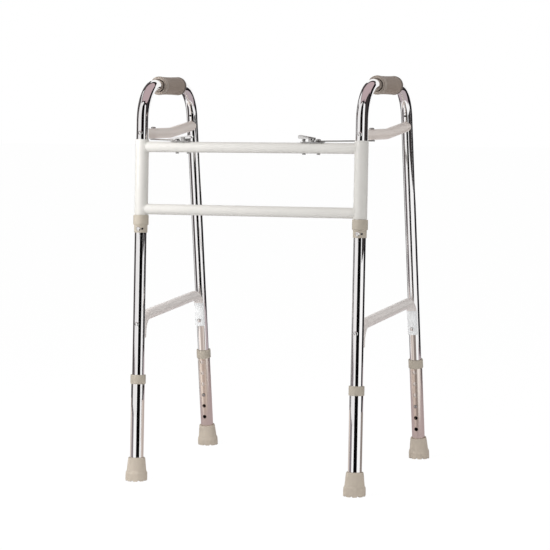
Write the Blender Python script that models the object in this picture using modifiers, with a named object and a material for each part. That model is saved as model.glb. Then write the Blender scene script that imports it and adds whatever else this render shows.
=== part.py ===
"""A folding walker: a front frame, two side frames that fold in behind it, and four legs that adjust.

Metres, +Z up, the front towards -Y, the origin on the floor in the middle of the four feet. A side
frame's own axes have their origin where its front leg meets the floor, Z up along that leg and Y back
along the frame. Depths and heights of a side frame are level and upright distances from that origin,
as on a drawing of its side view.
"""

import math

import bmesh
import bpy
from mathutils import Matrix, Vector

# Clearances
GAP = 0.0003
MERGE = 0.00001
CUT_PAST = 0.1

# Upper tube of a side frame
TUBE_R = 0.0125
TUBE_WALL = 0.0012
TUBE_SIDES = 20
SMALL_SIDES = 12
BEND_R = 0.076
BEND_STEPS = 6
TUBE_END_BELOW_BUTTON = 0.017

# Stance of the side frames
FRONT_LEG_X = 0.239
FRONT_LEG_Y = -0.220
LEG_SPACING = 0.440
LEAN = math.radians(3.4)
SPLAY = math.radians(7.5)
TOE_OUT = math.radians(1.8)
GRIP_HEIGHT = 0.823

# Hand grip
GRIP_START = 0.134
GRIP_LENGTH = 0.120
GRIP_R = 0.019
GRIP_RIM_R = 0.0198
GRIP_RIM = 0.006
GRIP_EDGE = 0.0015
GRIP_RECESS_R = 0.0138
GRIP_RECESS = 0.003

# Upper brace
BRACE_R = 0.011
BRACE_WALL = 0.0017
BRACE_SIDES = 20
UPPER_BRACE_BEND = 0.202
UPPER_BRACE_REAR_RISE = 0.0143
UPPER_BRACE_BEND_R = 0.090
BRACE_PLUG = 0.022
BRACE_BOLT_BEHIND_LEG = 0.062
BRACE_BOLT_R = 0.003
BRACE_BOLT_HEAD_R = 0.0055
BRACE_BOLT_HEAD = 0.003
BRACE_BOLT_SHORT = 0.0002

# Lower brace
LOWER_BRACE_HEIGHT = {"front": 0.341, "rear": 0.3568}
LOWER_BRACE_DROP = {"front": 0.044, "rear": 0.0743}
LOWER_BRACE_BEND_R = 0.036
LOWER_BRACE_FLAT = 0.006
LOWER_BRACE_FLAT_WALL = 0.002
LOWER_BRACE_FROM_LEG = 0.0135
LOWER_BRACE_END_WALL = 0.003
LOFT_SIDES = 16
LOFT_BEND_STEPS = 4

# Rivets that hold the braces
RIVET_R = 0.0024
RIVET_HEAD_R = 0.0045
RIVET_HEAD = 0.0018
HEAD_TOP_SHARE = 0.7
HEAD_SIDE_SHARE = 0.5
UPPER_FRONT_RIVET_RISE = 0.0016
LOWER_RIVET_DROP = {"front": 0.0148, "rear": 0.0602}
VENT_BELOW_GRIP = 0.063
VENT_R = 0.0022

# Front frame
SLEEVE_R = 0.014
SLEEVE_BELOW_BAR = 0.0016
BAR_R = 0.011
BAR_WALL = 0.0016
UPPER_BAR_BELOW_GRIP = 0.1275
BAR_SPACING = 0.1294

# Ring under a sleeve
RING_R = 0.016
RING_HEIGHT = 0.0205
RING_NECK_R = 0.0139
RING_NECK_HEIGHT = 0.016
RING_SCREW_R = 0.0019
RING_SCREW_HEAD_R = 0.0044
RING_SCREW_HEAD = 0.0013
RING_SCREW_REACH = 0.0036
RING_HOLE_R = 0.0024
RING_HOLE_TURN = math.radians(35)

# Leg extensions
EXTENSION_R = 0.014
EXTENSION_WALL = 0.0012
COLLAR_MIDDLE = {"front": 0.2112, "rear": 0.2169}
COLLAR_R = 0.016
COLLAR_LENGTH = 0.019
COLLAR_LIP = 0.004
COLLAR_EDGE = 0.0008
HOLE_PITCH = 0.026
HOLE_COUNT = 6
BUTTON_HOLE = 4
FIRST_HOLE_BELOW_COLLAR = 0.0174
BUTTON_R = 0.004
BUTTON_STANDS_OUT = 0.0025
BUTTON_DOME = 0.002
BUTTON_CURVE = ((0.55, 0.2), (0.87, 0.55))
BUTTON_FLANGE_R = 0.005
BUTTON_FLANGE = 0.0013
SPRING_SHEET = 0.0008
SPRING_WIDTH = 0.007
SPRING_LENGTH = 0.034

# Feet
FOOT_HEIGHT = 0.0475
FOOT_TOP_R = 0.019
FOOT_LOW_R = 0.0208
FOOT_BAND_R = 0.023
FOOT_BAND = 0.0165
FOOT_EDGE = 0.0015
FOOT_FLOOR = 0.010
FOOT_BELOW = 0.004

# Fold locks, measured from the leg's axis in along the upper crossbar
PIVOT_FROM_LEG = {"left": 0.079, "right": 0.091}
INNER_BOLT_FROM_PIVOT = {"left": 0.025, "right": 0.031}
INNER_BOLT_ABOVE_AXIS = {"left": 0.012, "right": 0.001}
LOCK_BOLT_R = 0.0025
LOCK_BOLT_HEAD_R = 0.005
LOCK_BOLT_HEAD = 0.003
LOCK_NUT_R = 0.004
LOCK_NUT = 0.0022
SHEET = 0.0015
PLATE_BEFORE_PIVOT = 0.012
PLATE_PAST_BOLT = 0.006
LEVER_AXIS_FROM_PIVOT = 0.015
LEVER_AXIS_ABOVE_LINK = 0.003
LEVER_HALF_WIDTH = 0.0065
LEVER_SHEET = 0.001
LEVER_HUB_R = 0.0026
LEVER_PIN_R = 0.0015
EAR_HALF_LENGTH = 0.004
EAR_ABOVE_AXIS = 0.0027
EAR_CLEARANCE = 0.0005
LEVER_SLOT = (0.0045, 0.0032)
LEVER_TOE = GAP - LEVER_AXIS_ABOVE_LINK
LEVER_TOP = {
    "left": ((-0.034, -0.0008), (0.0145, 0.0064), (0.018, 0.005)),
    "right": ((-0.0072, 0.0034), (0.0235, 0.0084), (0.0265, 0.007)),
}
LEVER_UNDER = {
    "left": (
        (0.018, 0.0012),
        (0.016, 0.0),
        (0.004, -0.001),
        (-0.004, -0.001),
        (-0.012, -0.001),
        (-0.034, LEVER_TOE),
    ),
    "right": (
        (0.0265, 0.0018),
        (0.0245, 0.0004),
        (0.004, 0.0),
        (-0.004, LEVER_TOE),
        (-0.0072, LEVER_TOE),
    ),
}
LEVER_SPRING_R = 0.0044
LEVER_SPRING_WIRE = 0.0004
LEVER_SPRING_TURNS = 3
LEVER_SPRING_STEPS = 10

# Flat links between the locks and the upper braces
LINK_THICK = 0.0022
LINK_HALF_WIDTH = 0.0065
LINK_SLOT_START = {"left": 0.018, "right": 0.055}
LINK_CLEARANCE = 0.0004
ARC_STEPS = 10

SIDES = {"left": -1, "right": 1}


def clear_scene():
    for thing in list(bpy.data.objects):
        bpy.data.objects.remove(thing)


def new_collection(name):
    collection = bpy.data.collections.new(name)
    bpy.context.scene.collection.children.link(collection)
    return collection


def material(name, colour, roughness, metallic=0.0):
    made = bpy.data.materials.new(name)
    made.use_nodes = True
    shader = made.node_tree.nodes["Principled BSDF"]
    shader.inputs["Base Color"].default_value = (*colour, 1.0)
    shader.inputs["Roughness"].default_value = roughness
    shader.inputs["Metallic"].default_value = metallic
    return made


# Directions and places


def side_point(depth, height, out=0.0):
    """A point in a side frame's own axes, from its depth behind the front foot and its height."""
    back = depth * math.cos(LEAN) - height * math.sin(LEAN)
    up = depth * math.sin(LEAN) + height * math.cos(LEAN)
    return Vector((out, back, up))


def front_leg_depth(height):
    return height * math.tan(LEAN)


def rear_leg_depth(height):
    return LEG_SPACING - height * math.tan(SPLAY)


def up_front_leg(height):
    return height / math.cos(LEAN)


def up_rear_leg(height):
    return height / math.cos(SPLAY)


def upper_bar():
    """Height of the upper crossbar's axis."""
    return GRIP_HEIGHT - UPPER_BAR_BELOW_GRIP


def lower_bar():
    return upper_bar() - BAR_SPACING


def lock_heights():
    """Heights of the lock's layers, from the crossbar up: two faces of the plate and the link, the axis."""
    plate_low = upper_bar() + BAR_R + GAP
    plate_top = plate_low + SHEET
    link_low = plate_top + GAP
    link_top = link_low + LINK_THICK
    return plate_low, plate_top, link_low, link_top, link_top + LEVER_AXIS_ABOVE_LINK


def upper_brace_height():
    return lock_heights()[3] + LINK_CLEARANCE + BRACE_R


def upper_brace_rear_height():
    return upper_brace_height() + UPPER_BRACE_REAR_RISE


def sleeve_ends():
    return lower_bar() - BAR_R - SLEEVE_BELOW_BAR, upper_brace_height() - BRACE_R - GAP


def ring_heights():
    """Heights of the ring's top, the step to its neck, its screw and its lower end."""
    top = sleeve_ends()[0]
    step = top - RING_HEIGHT
    return top, step, step - RING_NECK_HEIGHT / 2, step - RING_NECK_HEIGHT


def rivet_heights(leg):
    """Distances of the upper and the lower rivet up a leg's axis."""
    lower = LOWER_BRACE_HEIGHT[leg] - LOWER_RIVET_DROP[leg]
    if leg == "front":
        return up_front_leg(upper_brace_height() + UPPER_FRONT_RIVET_RISE), up_front_leg(lower)
    return up_rear_leg(upper_brace_rear_height()), up_rear_leg(lower)


def leg_base(side):
    """Where the front leg's axis meets the floor, with Z up along the leg, square to the front."""
    place = Matrix.Translation((SIDES[side] * FRONT_LEG_X, FRONT_LEG_Y, 0))
    return place @ Matrix.Rotation(-LEAN, 4, "X")


def side_matrix(side):
    return leg_base(side) @ Matrix.Rotation(-SIDES[side] * TOE_OUT, 4, "Z")


def rear_leg_place():
    """The rear leg's own axes, within its side frame's axes."""
    return Matrix.Translation(side_point(LEG_SPACING, 0)) @ Matrix.Rotation(SPLAY + LEAN, 4, "X")


def facing(point, direction):
    """A matrix at a point whose Z runs along a direction."""
    turn = Vector(direction).to_track_quat("Z", "Y").to_matrix().to_4x4()
    return Matrix.Translation(point) @ turn


def bar_y(height):
    """The upper or lower crossbar's axis lies between the two front legs."""
    return FRONT_LEG_Y + height * math.tan(LEAN)


def bar_x(side, from_leg):
    return SIDES[side] * (FRONT_LEG_X - from_leg)


def rounded(points, radius, steps):
    """The points of a flat line whose corners are arcs of one radius."""
    path = [Vector(points[0])]
    for before, corner, after in zip(points, points[1:], points[2:]):
        corner = Vector(corner)
        back = (Vector(before) - corner).normalized()
        on = (Vector(after) - corner).normalized()
        half = back.angle(on) / 2
        centre = corner + (back + on).normalized() * radius / math.sin(half)
        spoke = corner + back * radius / math.tan(half) - centre
        turn = math.copysign(math.pi - 2 * half, on.cross(back))
        for step in range(steps + 1):
            path.append(centre + Matrix.Rotation(turn * step / steps, 2) @ spoke)
    path.append(Vector(points[-1]))
    return path


# Shapes


def add_object(name, data, collection, parent=None, place=None, finish=None):
    made = bpy.data.objects.new(name, data)
    collection.objects.link(made)
    if parent:
        made.parent = parent
    if place:
        made.matrix_local = place
    if finish:
        data.materials.append(finish)
    return made


def add_empty(name, place, parent=None):
    made = bpy.data.objects.new(name, None)
    made.empty_display_size = 0.05
    PARTS.objects.link(made)
    made.parent = parent
    made.matrix_local = place
    return made


def as_cutter(made):
    made.hide_render = True
    made.display_type = "WIRE"
    return made


def cut(target, cutter, operation="DIFFERENCE"):
    change = target.modifiers.new(cutter.name, "BOOLEAN")
    change.operation = operation
    change.solver = "EXACT"
    change.object = cutter


def finish_mesh(name, bm):
    bmesh.ops.recalc_face_normals(bm, faces=bm.faces)
    mesh = bpy.data.meshes.new(name)
    bm.to_mesh(mesh)
    bm.free()
    mesh.shade_smooth()
    mesh.set_sharp_from_angle(angle=math.radians(35))
    return mesh


def rods_mesh(name, rods, sides=SMALL_SIDES):
    """Straight rods in one mesh, each with its ends and radius."""
    bm = bmesh.new()
    for start, end, radius in rods:
        start = Vector(start)
        along = Vector(end) - start
        place = facing(start + along / 2, along)
        bmesh.ops.create_cone(
            bm,
            cap_ends=True,
            segments=sides,
            radius1=radius,
            radius2=radius,
            depth=along.length,
            matrix=place,
        )
    return finish_mesh(name, bm)


def rods_cutter(name, parent, rods, sides=SMALL_SIDES):
    return as_cutter(add_object(name, rods_mesh(name, rods, sides), CUTTERS, parent))


def box_mesh(name, low, high):
    low = Vector(low)
    high = Vector(high)
    bm = bmesh.new()
    bmesh.ops.create_cube(bm, size=1, matrix=Matrix.Translation((low + high) / 2))
    centre = (low + high) / 2
    for vert in bm.verts:
        offset = vert.co - centre
        vert.co = centre + Vector((a * b for a, b in zip(offset, high - low)))
    return finish_mesh(name, bm)


def turned(name, profile, closed, collection, parent, place, finish=None, steps=TUBE_SIDES):
    """A turned piece. The profile is a list of radius and height, down its outer side."""
    mesh = bpy.data.meshes.new(name)
    corners = [(radius, 0, height) for radius, height in profile]
    edges = [(i, i + 1) for i in range(len(corners) - 1)]
    if closed:
        edges.append((len(corners) - 1, 0))
    mesh.from_pydata(corners, edges, [])
    made = add_object(name, mesh, collection, parent, place, finish)
    turn = made.modifiers.new("turn", "SCREW")
    turn.steps = steps
    turn.render_steps = steps
    turn.use_merge_vertices = True
    turn.merge_threshold = MERGE
    return made


def rounded_head(radius, base, height):
    """The outer line of a bolt, screw or rivet head, from its middle down to its base."""
    return [
        (0, base + height),
        (radius * HEAD_TOP_SHARE, base + height),
        (radius, base + height * HEAD_SIDE_SHARE),
        (radius, base),
    ]


def turned_tube(name, radius, bore, bottom, top, collection, parent, place, finish):
    profile = [(radius, top), (radius, bottom), (bore, bottom), (bore, top)]
    return turned(name, profile, True, collection, parent, place, finish)


def path_mesh(name, points, radius, sides, capped):
    """A round bar along a path, as a mesh."""
    curve = bpy.data.curves.new(name, "CURVE")
    curve.dimensions = "3D"
    curve.bevel_depth = radius
    curve.bevel_resolution = (sides - 4) // 2
    curve.use_fill_caps = capped
    line = curve.splines.new("POLY")
    line.points.add(len(points) - 1)
    for point, place in zip(line.points, points):
        point.co = (*place, 1)
    guide = bpy.data.objects.new(name + "_path", curve)
    CUTTERS.objects.link(guide)
    bpy.context.view_layer.update()
    graph = bpy.context.evaluated_depsgraph_get()
    mesh = bpy.data.meshes.new_from_object(guide.evaluated_get(graph))
    bpy.data.objects.remove(guide)
    bm = bmesh.new()
    bm.from_mesh(mesh)
    bmesh.ops.remove_doubles(bm, verts=bm.verts, dist=MERGE)
    bpy.data.meshes.remove(mesh)
    return finish_mesh(name, bm)


def flat_shape(name, outlines, half_thickness, collection, parent, place, finish=None):
    """A flat plate from outlines in its own XY plane: the first is the edge, the others are holes."""
    curve = bpy.data.curves.new(name, "CURVE")
    curve.dimensions = "2D"
    curve.fill_mode = "BOTH"
    curve.extrude = half_thickness
    for outline in outlines:
        line = curve.splines.new("POLY")
        line.points.add(len(outline) - 1)
        line.use_cyclic_u = True
        for point, place_2d in zip(line.points, outline):
            point.co = (*place_2d, 0, 1)
    return add_object(name, curve, collection, parent, place, finish)


def slot_outline(start, end, radius, steps=ARC_STEPS):
    """A slot along X with round ends."""
    points = []
    for centre, first in ((end, -math.pi / 2), (start, math.pi / 2)):
        for step in range(steps + 1):
            angle = first + math.pi * step / steps
            points.append((centre + radius * math.cos(angle), radius * math.sin(angle)))
    return points


def loft_mesh(name, sections, sides):
    """A bar through oval sections: each has its centre, its two half-axes as vectors."""
    bm = bmesh.new()
    rings = []
    for centre, wide, thick in sections:
        ring = []
        for step in range(sides):
            angle = 2 * math.pi * (step + 0.5) / sides
            ring.append(bm.verts.new(centre + wide * math.cos(angle) + thick * math.sin(angle)))
        rings.append(ring)
    for lower, upper in zip(rings, rings[1:]):
        for step in range(sides):
            following = (step + 1) % sides
            bm.faces.new((lower[step], lower[following], upper[following], upper[step]))
    bm.faces.new(rings[0])
    bm.faces.new(rings[-1])
    return finish_mesh(name, bm)


# Side frames


def tube_path(low):
    """The bent tube's axis in depth and height, from low on the front leg to low on the rear leg."""
    return [
        (front_leg_depth(low["front"]), low["front"]),
        (front_leg_depth(GRIP_HEIGHT), GRIP_HEIGHT),
        (rear_leg_depth(GRIP_HEIGHT), GRIP_HEIGHT),
        (rear_leg_depth(low["rear"]), low["rear"]),
    ]


def button_height(leg):
    """Distance of the snap button up the leg's axis."""
    return COLLAR_MIDDLE[leg] - FIRST_HOLE_BELOW_COLLAR - (BUTTON_HOLE - 1) * HOLE_PITCH


def through_leg(rivet_height):
    """A rod square through a leg, in that leg's axes."""
    return (0, -2 * TUBE_R, rivet_height), (0, 2 * TUBE_R, rivet_height), RIVET_R + GAP


def screw_direction():
    return Vector((0, -1, 0))


def ring_hole_direction():
    return Vector((math.sin(RING_HOLE_TURN), -math.cos(RING_HOLE_TURN), 0))


def side_tube(side, axes):
    low = {}
    for leg, tilt in (("front", LEAN), ("rear", SPLAY)):
        low[leg] = (button_height(leg) - TUBE_END_BELOW_BUTTON) * math.cos(tilt)
    path = [side_point(*p) for p in rounded(tube_path(low), BEND_R, BEND_STEPS)]
    mesh = path_mesh(side + "_side_tube", path, TUBE_R, TUBE_SIDES, False)
    tube = add_object(side + "_side_tube", mesh, PARTS, axes["front"], None, FINISH["chrome"])
    wall = tube.modifiers.new("wall", "SOLIDIFY")
    wall.thickness = TUBE_WALL
    wall.offset = -1
    front_rods = [through_leg(height) for height in rivet_heights("front")]
    button = button_height("front")
    front_rods.append(((0, 0, button), (0, 2 * TUBE_R, button), BUTTON_R + GAP))
    screw_at = Vector((0, 0, up_front_leg(ring_heights()[2])))
    front_rods.append((screw_at, screw_at + screw_direction() * 2 * TUBE_R, RING_SCREW_R + GAP))
    hole_start = screw_at + ring_hole_direction() * TUBE_R / 2
    front_rods.append((hole_start, screw_at + ring_hole_direction() * 2 * TUBE_R, RING_HOLE_R))
    rear_rods = [through_leg(height) for height in rivet_heights("rear")]
    button = button_height("rear")
    rear_rods.append(((0, 0, button), (0, -2 * TUBE_R, button), BUTTON_R + GAP))
    vent = up_rear_leg(GRIP_HEIGHT - VENT_BELOW_GRIP)
    rear_rods.append(((0, 0, vent), (0, -2 * TUBE_R, vent), VENT_R))
    cut(tube, rods_cutter(side + "_front_leg_holes", axes["front"], front_rods))
    cut(tube, rods_cutter(side + "_rear_leg_holes", axes["rear"], rear_rods))


def hand_grip(side, axes):
    place = facing(side_point(GRIP_START, GRIP_HEIGHT), side_point(1, 0))
    bore = TUBE_R + GAP
    profile = [
        (GRIP_RECESS_R, GRIP_LENGTH - GRIP_RECESS),
        (GRIP_RECESS_R, GRIP_LENGTH),
        (GRIP_RIM_R - GRIP_EDGE, GRIP_LENGTH),
        (GRIP_RIM_R, GRIP_LENGTH - GRIP_EDGE),
        (GRIP_RIM_R, GRIP_LENGTH - GRIP_RIM),
        (GRIP_R, GRIP_LENGTH - GRIP_RIM - GRIP_EDGE),
        (GRIP_R, GRIP_RIM + GRIP_EDGE),
        (GRIP_RIM_R, GRIP_RIM),
        (GRIP_RIM_R, GRIP_EDGE),
        (GRIP_RIM_R - GRIP_EDGE, 0),
        (GRIP_RECESS_R, 0),
        (GRIP_RECESS_R, GRIP_RECESS),
        (bore, GRIP_RECESS),
        (bore, GRIP_LENGTH - GRIP_RECESS),
    ]
    turned(side + "_hand_grip", profile, True, PARTS, axes["front"], place, FINISH["grip"])


def upper_brace(side, axes, leg_cutters):
    name = side + "_upper_brace"
    height = upper_brace_height()
    front = Vector((front_leg_depth(height), height))
    bend = Vector((UPPER_BRACE_BEND, height))
    rear = Vector((rear_leg_depth(upper_brace_rear_height()), upper_brace_rear_height()))
    path = rounded([front, bend, rear], UPPER_BRACE_BEND_R, 2)
    mesh = path_mesh(name, [side_point(*p) for p in path], BRACE_R, BRACE_SIDES, True)
    brace = add_object(name, mesh, PARTS, axes["front"], None, FINISH["white"])
    path[0] = front + (bend - front).normalized() * BRACE_PLUG
    path[-1] = rear + (bend - rear).normalized() * BRACE_PLUG
    bore = BRACE_R - BRACE_WALL
    inside = path_mesh(name + "_bore", [side_point(*p) for p in path], bore, BRACE_SIDES, True)
    cut(brace, as_cutter(add_object(name + "_bore", inside, CUTTERS, axes["front"])))
    for leg in ("front", "rear"):
        cut(brace, leg_cutters[leg])
        rivet_at = rivet_heights(leg)[0]
        back = 1 if leg == "front" else -1
        rod = ((0, 0, rivet_at), (0, back * (BRACE_PLUG + TUBE_R), rivet_at), RIVET_R + GAP)
        cut(brace, rods_cutter(f"{name}_{leg}_hole", axes[leg], [rod]))
    depth = brace_bolt_depth()
    rod = (
        side_point(depth, height - 2 * BRACE_R),
        side_point(depth, height + 2 * BRACE_R),
        BRACE_BOLT_R + GAP,
    )
    cut(brace, rods_cutter(name + "_bolt_hole", axes["front"], [rod]))


def brace_bolt_depth():
    return front_leg_depth(upper_brace_height()) + BRACE_BOLT_BEHIND_LEG


def brace_bolt(side, axes):
    """The bolt that the lock's link turns about: its head on the brace, its end flush with the underside."""
    top = upper_brace_height() + BRACE_R + GAP
    bottom = upper_brace_height() - BRACE_R + BRACE_BOLT_SHORT
    profile = rounded_head(BRACE_BOLT_HEAD_R, top - bottom, BRACE_BOLT_HEAD)
    profile += [(BRACE_BOLT_R, top - bottom), (BRACE_BOLT_R, 0), (0, 0)]
    place = facing(side_point(brace_bolt_depth(), bottom), side_point(0, 1))
    turned(side + "_brace_bolt", profile, False, PARTS, axes["front"], place, FINISH["steel"], SMALL_SIDES)


def lower_brace_sections(inner):
    """Oval sections along the lower brace: round between its bends, flat where it wraps the legs."""
    up_front = Vector((math.sin(LEAN), math.cos(LEAN)))
    up_rear = Vector((-math.sin(SPLAY), math.cos(SPLAY)))
    beside_front = Vector((math.cos(LEAN), -math.sin(LEAN))) * LOWER_BRACE_FROM_LEG
    beside_rear = Vector((-math.cos(SPLAY), -math.sin(SPLAY))) * LOWER_BRACE_FROM_LEG
    short = LOWER_BRACE_END_WALL if inner else 0.0
    front = LOWER_BRACE_HEIGHT["front"]
    rear = LOWER_BRACE_HEIGHT["rear"]
    first = Vector((front_leg_depth(front), front)) + beside_front
    low = first - up_front * LOWER_BRACE_DROP["front"]
    second = Vector((rear_leg_depth(rear), rear)) + beside_rear
    last = second - up_rear * LOWER_BRACE_DROP["rear"]
    corners = [low + up_front * short, first, second, last + up_rear * short]
    path = rounded(corners, LOWER_BRACE_BEND_R, LOFT_BEND_STEPS)
    middle = len(path) // 2
    wide = Vector((BRACE_R - (BRACE_WALL if inner else 0), 0, 0))
    flat = LOWER_BRACE_FLAT - (LOWER_BRACE_FLAT_WALL if inner else 0)
    round_r = BRACE_R - (BRACE_WALL if inner else 0)
    sections = []
    for i, point in enumerate(path):
        before = path[max(i - 1, 0)]
        after = path[min(i + 1, len(path) - 1)]
        along = (after - before).normalized()
        across = Vector((-along.y, along.x))
        steps_in = i if i < middle else len(path) - 1 - i
        share = max(0, steps_in - 1) / (middle - 2)
        half = flat + (round_r - flat) * share
        sections.append((side_point(*point), wide, side_point(*across) * half))
    return sections


def lower_brace(side, axes, leg_cutters):
    name = side + "_lower_brace"
    outer = loft_mesh(name, lower_brace_sections(False), LOFT_SIDES)
    brace = add_object(name, outer, PARTS, axes["front"], None, FINISH["white"])
    inner = loft_mesh(name + "_bore", lower_brace_sections(True), LOFT_SIDES)
    cut(brace, as_cutter(add_object(name + "_bore", inner, CUTTERS, axes["front"])))
    for leg, back in (("front", 1), ("rear", -1)):
        cut(brace, leg_cutters[leg])
        rivet_at = rivet_heights(leg)[1]
        rod = ((0, 0, rivet_at), (0, back * 3 * TUBE_R, rivet_at), RIVET_R + GAP)
        cut(brace, rods_cutter(f"{name}_{leg}_hole", axes[leg], [rod]))


def rivet(name, axes, height, back, reach):
    """A rivet through a leg: one head on the leg, the other past what it holds, reach from the axis."""
    head_at = TUBE_R + GAP
    length = head_at + reach
    profile = rounded_head(RIVET_HEAD_R, length, RIVET_HEAD) + [(RIVET_R, length), (RIVET_R, 0)]
    profile += [(radius, -height) for radius, height in reversed(rounded_head(RIVET_HEAD_R, 0, RIVET_HEAD))]
    place = facing((0, -back * head_at, height), (0, back, 0))
    turned(name, profile, False, PARTS, axes, place, FINISH["steel"], SMALL_SIDES)


def rivets(side, axes):
    plug = BRACE_PLUG + 2 * GAP
    saddle = LOWER_BRACE_FROM_LEG + LOWER_BRACE_FLAT + GAP
    for leg, back in (("front", 1), ("rear", -1)):
        upper, lower = rivet_heights(leg)
        rivet(f"{side}_rivet_upper_{leg}", axes[leg], upper, back, plug)
        rivet(f"{side}_rivet_lower_{leg}", axes[leg], lower, back, saddle)


def sleeve_ring(side, axes):
    name = side + "_sleeve_ring"
    bore = TUBE_R + GAP
    top, step, screw, bottom = (up_front_leg(height) for height in ring_heights())
    profile = [
        (bore, top),
        (RING_R, top),
        (RING_R, step),
        (RING_NECK_R, step),
        (RING_NECK_R, bottom),
        (bore, bottom),
    ]
    ring = turned(name, profile, True, PARTS, axes["front"], None, FINISH["beige"])
    at = Vector((0, 0, screw))
    rods = []
    for direction, radius in ((screw_direction(), RING_SCREW_R + GAP), (ring_hole_direction(), RING_HOLE_R)):
        rods.append((at + direction * (TUBE_R - TUBE_WALL), at + direction * 2 * TUBE_R, radius))
    cut(ring, rods_cutter(name + "_holes", axes["front"], rods))


def ring_screw(side, axes):
    head = RING_NECK_R + GAP
    profile = rounded_head(RING_SCREW_HEAD_R, 0, RING_SCREW_HEAD)
    profile += [(RING_SCREW_R, 0), (RING_SCREW_R, -RING_SCREW_REACH), (0, -RING_SCREW_REACH)]
    at = Vector((0, 0, up_front_leg(ring_heights()[2])))
    place = facing(at + screw_direction() * head, screw_direction())
    turned(side + "_ring_screw", profile, False, PARTS, axes["front"], place, FINISH["steel"], SMALL_SIDES)


# Legs that adjust in height


def leg_extension(leg, side, axes):
    name = f"{leg}_{side}_extension"
    back = 1 if leg == "front" else -1
    top = COLLAR_MIDDLE[leg] + COLLAR_LENGTH / 2 - COLLAR_LIP - GAP
    bore = EXTENSION_R - EXTENSION_WALL
    tube = turned_tube(name, EXTENSION_R, bore, FOOT_FLOOR + GAP, top, PARTS, axes, None, FINISH["chrome"])
    rods = []
    for hole in range(HOLE_COUNT):
        height = COLLAR_MIDDLE[leg] - FIRST_HOLE_BELOW_COLLAR - hole * HOLE_PITCH
        rods.append(((0, back * TUBE_R / 2, height), (0, back * 2 * TUBE_R, height), BUTTON_R + GAP))
    cut(tube, rods_cutter(name + "_holes", axes, rods))


def leg_collar(leg, side, axes):
    top = COLLAR_MIDDLE[leg] + COLLAR_LENGTH / 2
    bottom = top - COLLAR_LENGTH
    profile = [
        (TUBE_R + GAP, top),
        (COLLAR_R - COLLAR_EDGE, top),
        (COLLAR_R, top - COLLAR_EDGE),
        (COLLAR_R, bottom),
        (EXTENSION_R + GAP, bottom),
        (EXTENSION_R + GAP, top - COLLAR_LIP),
        (TUBE_R + GAP, top - COLLAR_LIP),
    ]
    turned(f"{leg}_{side}_collar", profile, True, PARTS, axes, None, FINISH["beige"])


def leg_foot(leg, side, axes, floor):
    bore = EXTENSION_R + GAP
    profile = [
        (0, FOOT_FLOOR),
        (bore, FOOT_FLOOR),
        (bore, FOOT_HEIGHT),
        (FOOT_TOP_R - FOOT_EDGE, FOOT_HEIGHT),
        (FOOT_TOP_R, FOOT_HEIGHT - FOOT_EDGE),
        (FOOT_LOW_R, FOOT_BAND + FOOT_EDGE),
        (FOOT_BAND_R - FOOT_EDGE, FOOT_BAND),
        (FOOT_BAND_R, FOOT_BAND - FOOT_EDGE),
        (FOOT_BAND_R, -FOOT_BELOW),
        (0, -FOOT_BELOW),
    ]
    foot = turned(f"{leg}_{side}_foot", profile, False, PARTS, axes, None, FINISH["rubber"])
    cut(foot, floor)


def snap_button(leg, side, axes):
    """The button's end stands out of the outer tube's hole, and its flange bears inside the inner tube."""
    back = 1 if leg == "front" else -1
    tip = EXTENSION_R + BUTTON_STANDS_OUT
    flange = math.sqrt((TUBE_R - TUBE_WALL) ** 2 - BUTTON_FLANGE_R ** 2) - GAP
    profile = [
        (0, tip),
        *[(BUTTON_R * across, tip - BUTTON_DOME * down) for across, down in BUTTON_CURVE],
        (BUTTON_R, tip - BUTTON_DOME),
        (BUTTON_R, flange),
        (BUTTON_FLANGE_R, flange),
        (BUTTON_FLANGE_R, flange - BUTTON_FLANGE),
        (0, flange - BUTTON_FLANGE),
    ]
    place = facing((0, 0, button_height(leg)), (0, back, 0))
    turned(f"{leg}_{side}_button", profile, False, PARTS, axes, place, FINISH["steel"], SMALL_SIDES)
    return flange - BUTTON_FLANGE


def button_spring(leg, side, axes, button_back):
    """A strip bent into a V inside the tube: one leg behind the button, the other on the far wall."""
    back = 1 if leg == "front" else -1
    name = f"{leg}_{side}_button_spring"
    near = button_back - GAP - SPRING_SHEET
    far = -math.sqrt((TUBE_R - TUBE_WALL) ** 2 - (SPRING_WIDTH / 2) ** 2) + GAP + SPRING_SHEET
    fold_r = 3 * SPRING_SHEET
    line = rounded(
        [
            (-BUTTON_FLANGE_R, near),
            (BUTTON_FLANGE_R, near),
            (SPRING_LENGTH, (near + far) / 2 + fold_r),
            (SPRING_LENGTH + fold_r, (near + far) / 2),
            (SPRING_LENGTH, (near + far) / 2 - fold_r),
            (BUTTON_FLANGE_R, far),
            (-BUTTON_FLANGE_R, far),
        ],
        fold_r / 2,
        3,
    )
    bm = bmesh.new()
    rows = []
    for edge in (-SPRING_WIDTH / 2, SPRING_WIDTH / 2):
        rows.append([bm.verts.new((edge, back * across, -along)) for along, across in line])
    for i in range(len(line) - 1):
        bm.faces.new((rows[0][i], rows[1][i], rows[1][i + 1], rows[0][i + 1]))
    mesh = bpy.data.meshes.new(name)
    bm.to_mesh(mesh)
    bm.free()
    place = Matrix.Translation((0, 0, button_height(leg)))
    spring = add_object(name, mesh, PARTS, axes, place, FINISH["steel"])
    sheet = spring.modifiers.new("sheet", "SOLIDIFY")
    sheet.thickness = SPRING_SHEET
    sheet.offset = 0


# Front frame


def front_sleeve(side, axes):
    bottom, top = (up_front_leg(height) for height in sleeve_ends())
    bottom += GAP
    turned_tube(side + "_sleeve", SLEEVE_R, TUBE_R + GAP, bottom, top, PARTS, axes, None, FINISH["white"])


def crossbar(name, height, cutters):
    place = facing((-FRONT_LEG_X, bar_y(height), height), (1, 0, 0))
    bar = turned_tube(
        name, BAR_R, BAR_R - BAR_WALL, 0, 2 * FRONT_LEG_X, PARTS, FRONT, place, FINISH["white"]
    )
    for cutter in cutters:
        cut(bar, cutter)
    return bar


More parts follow.
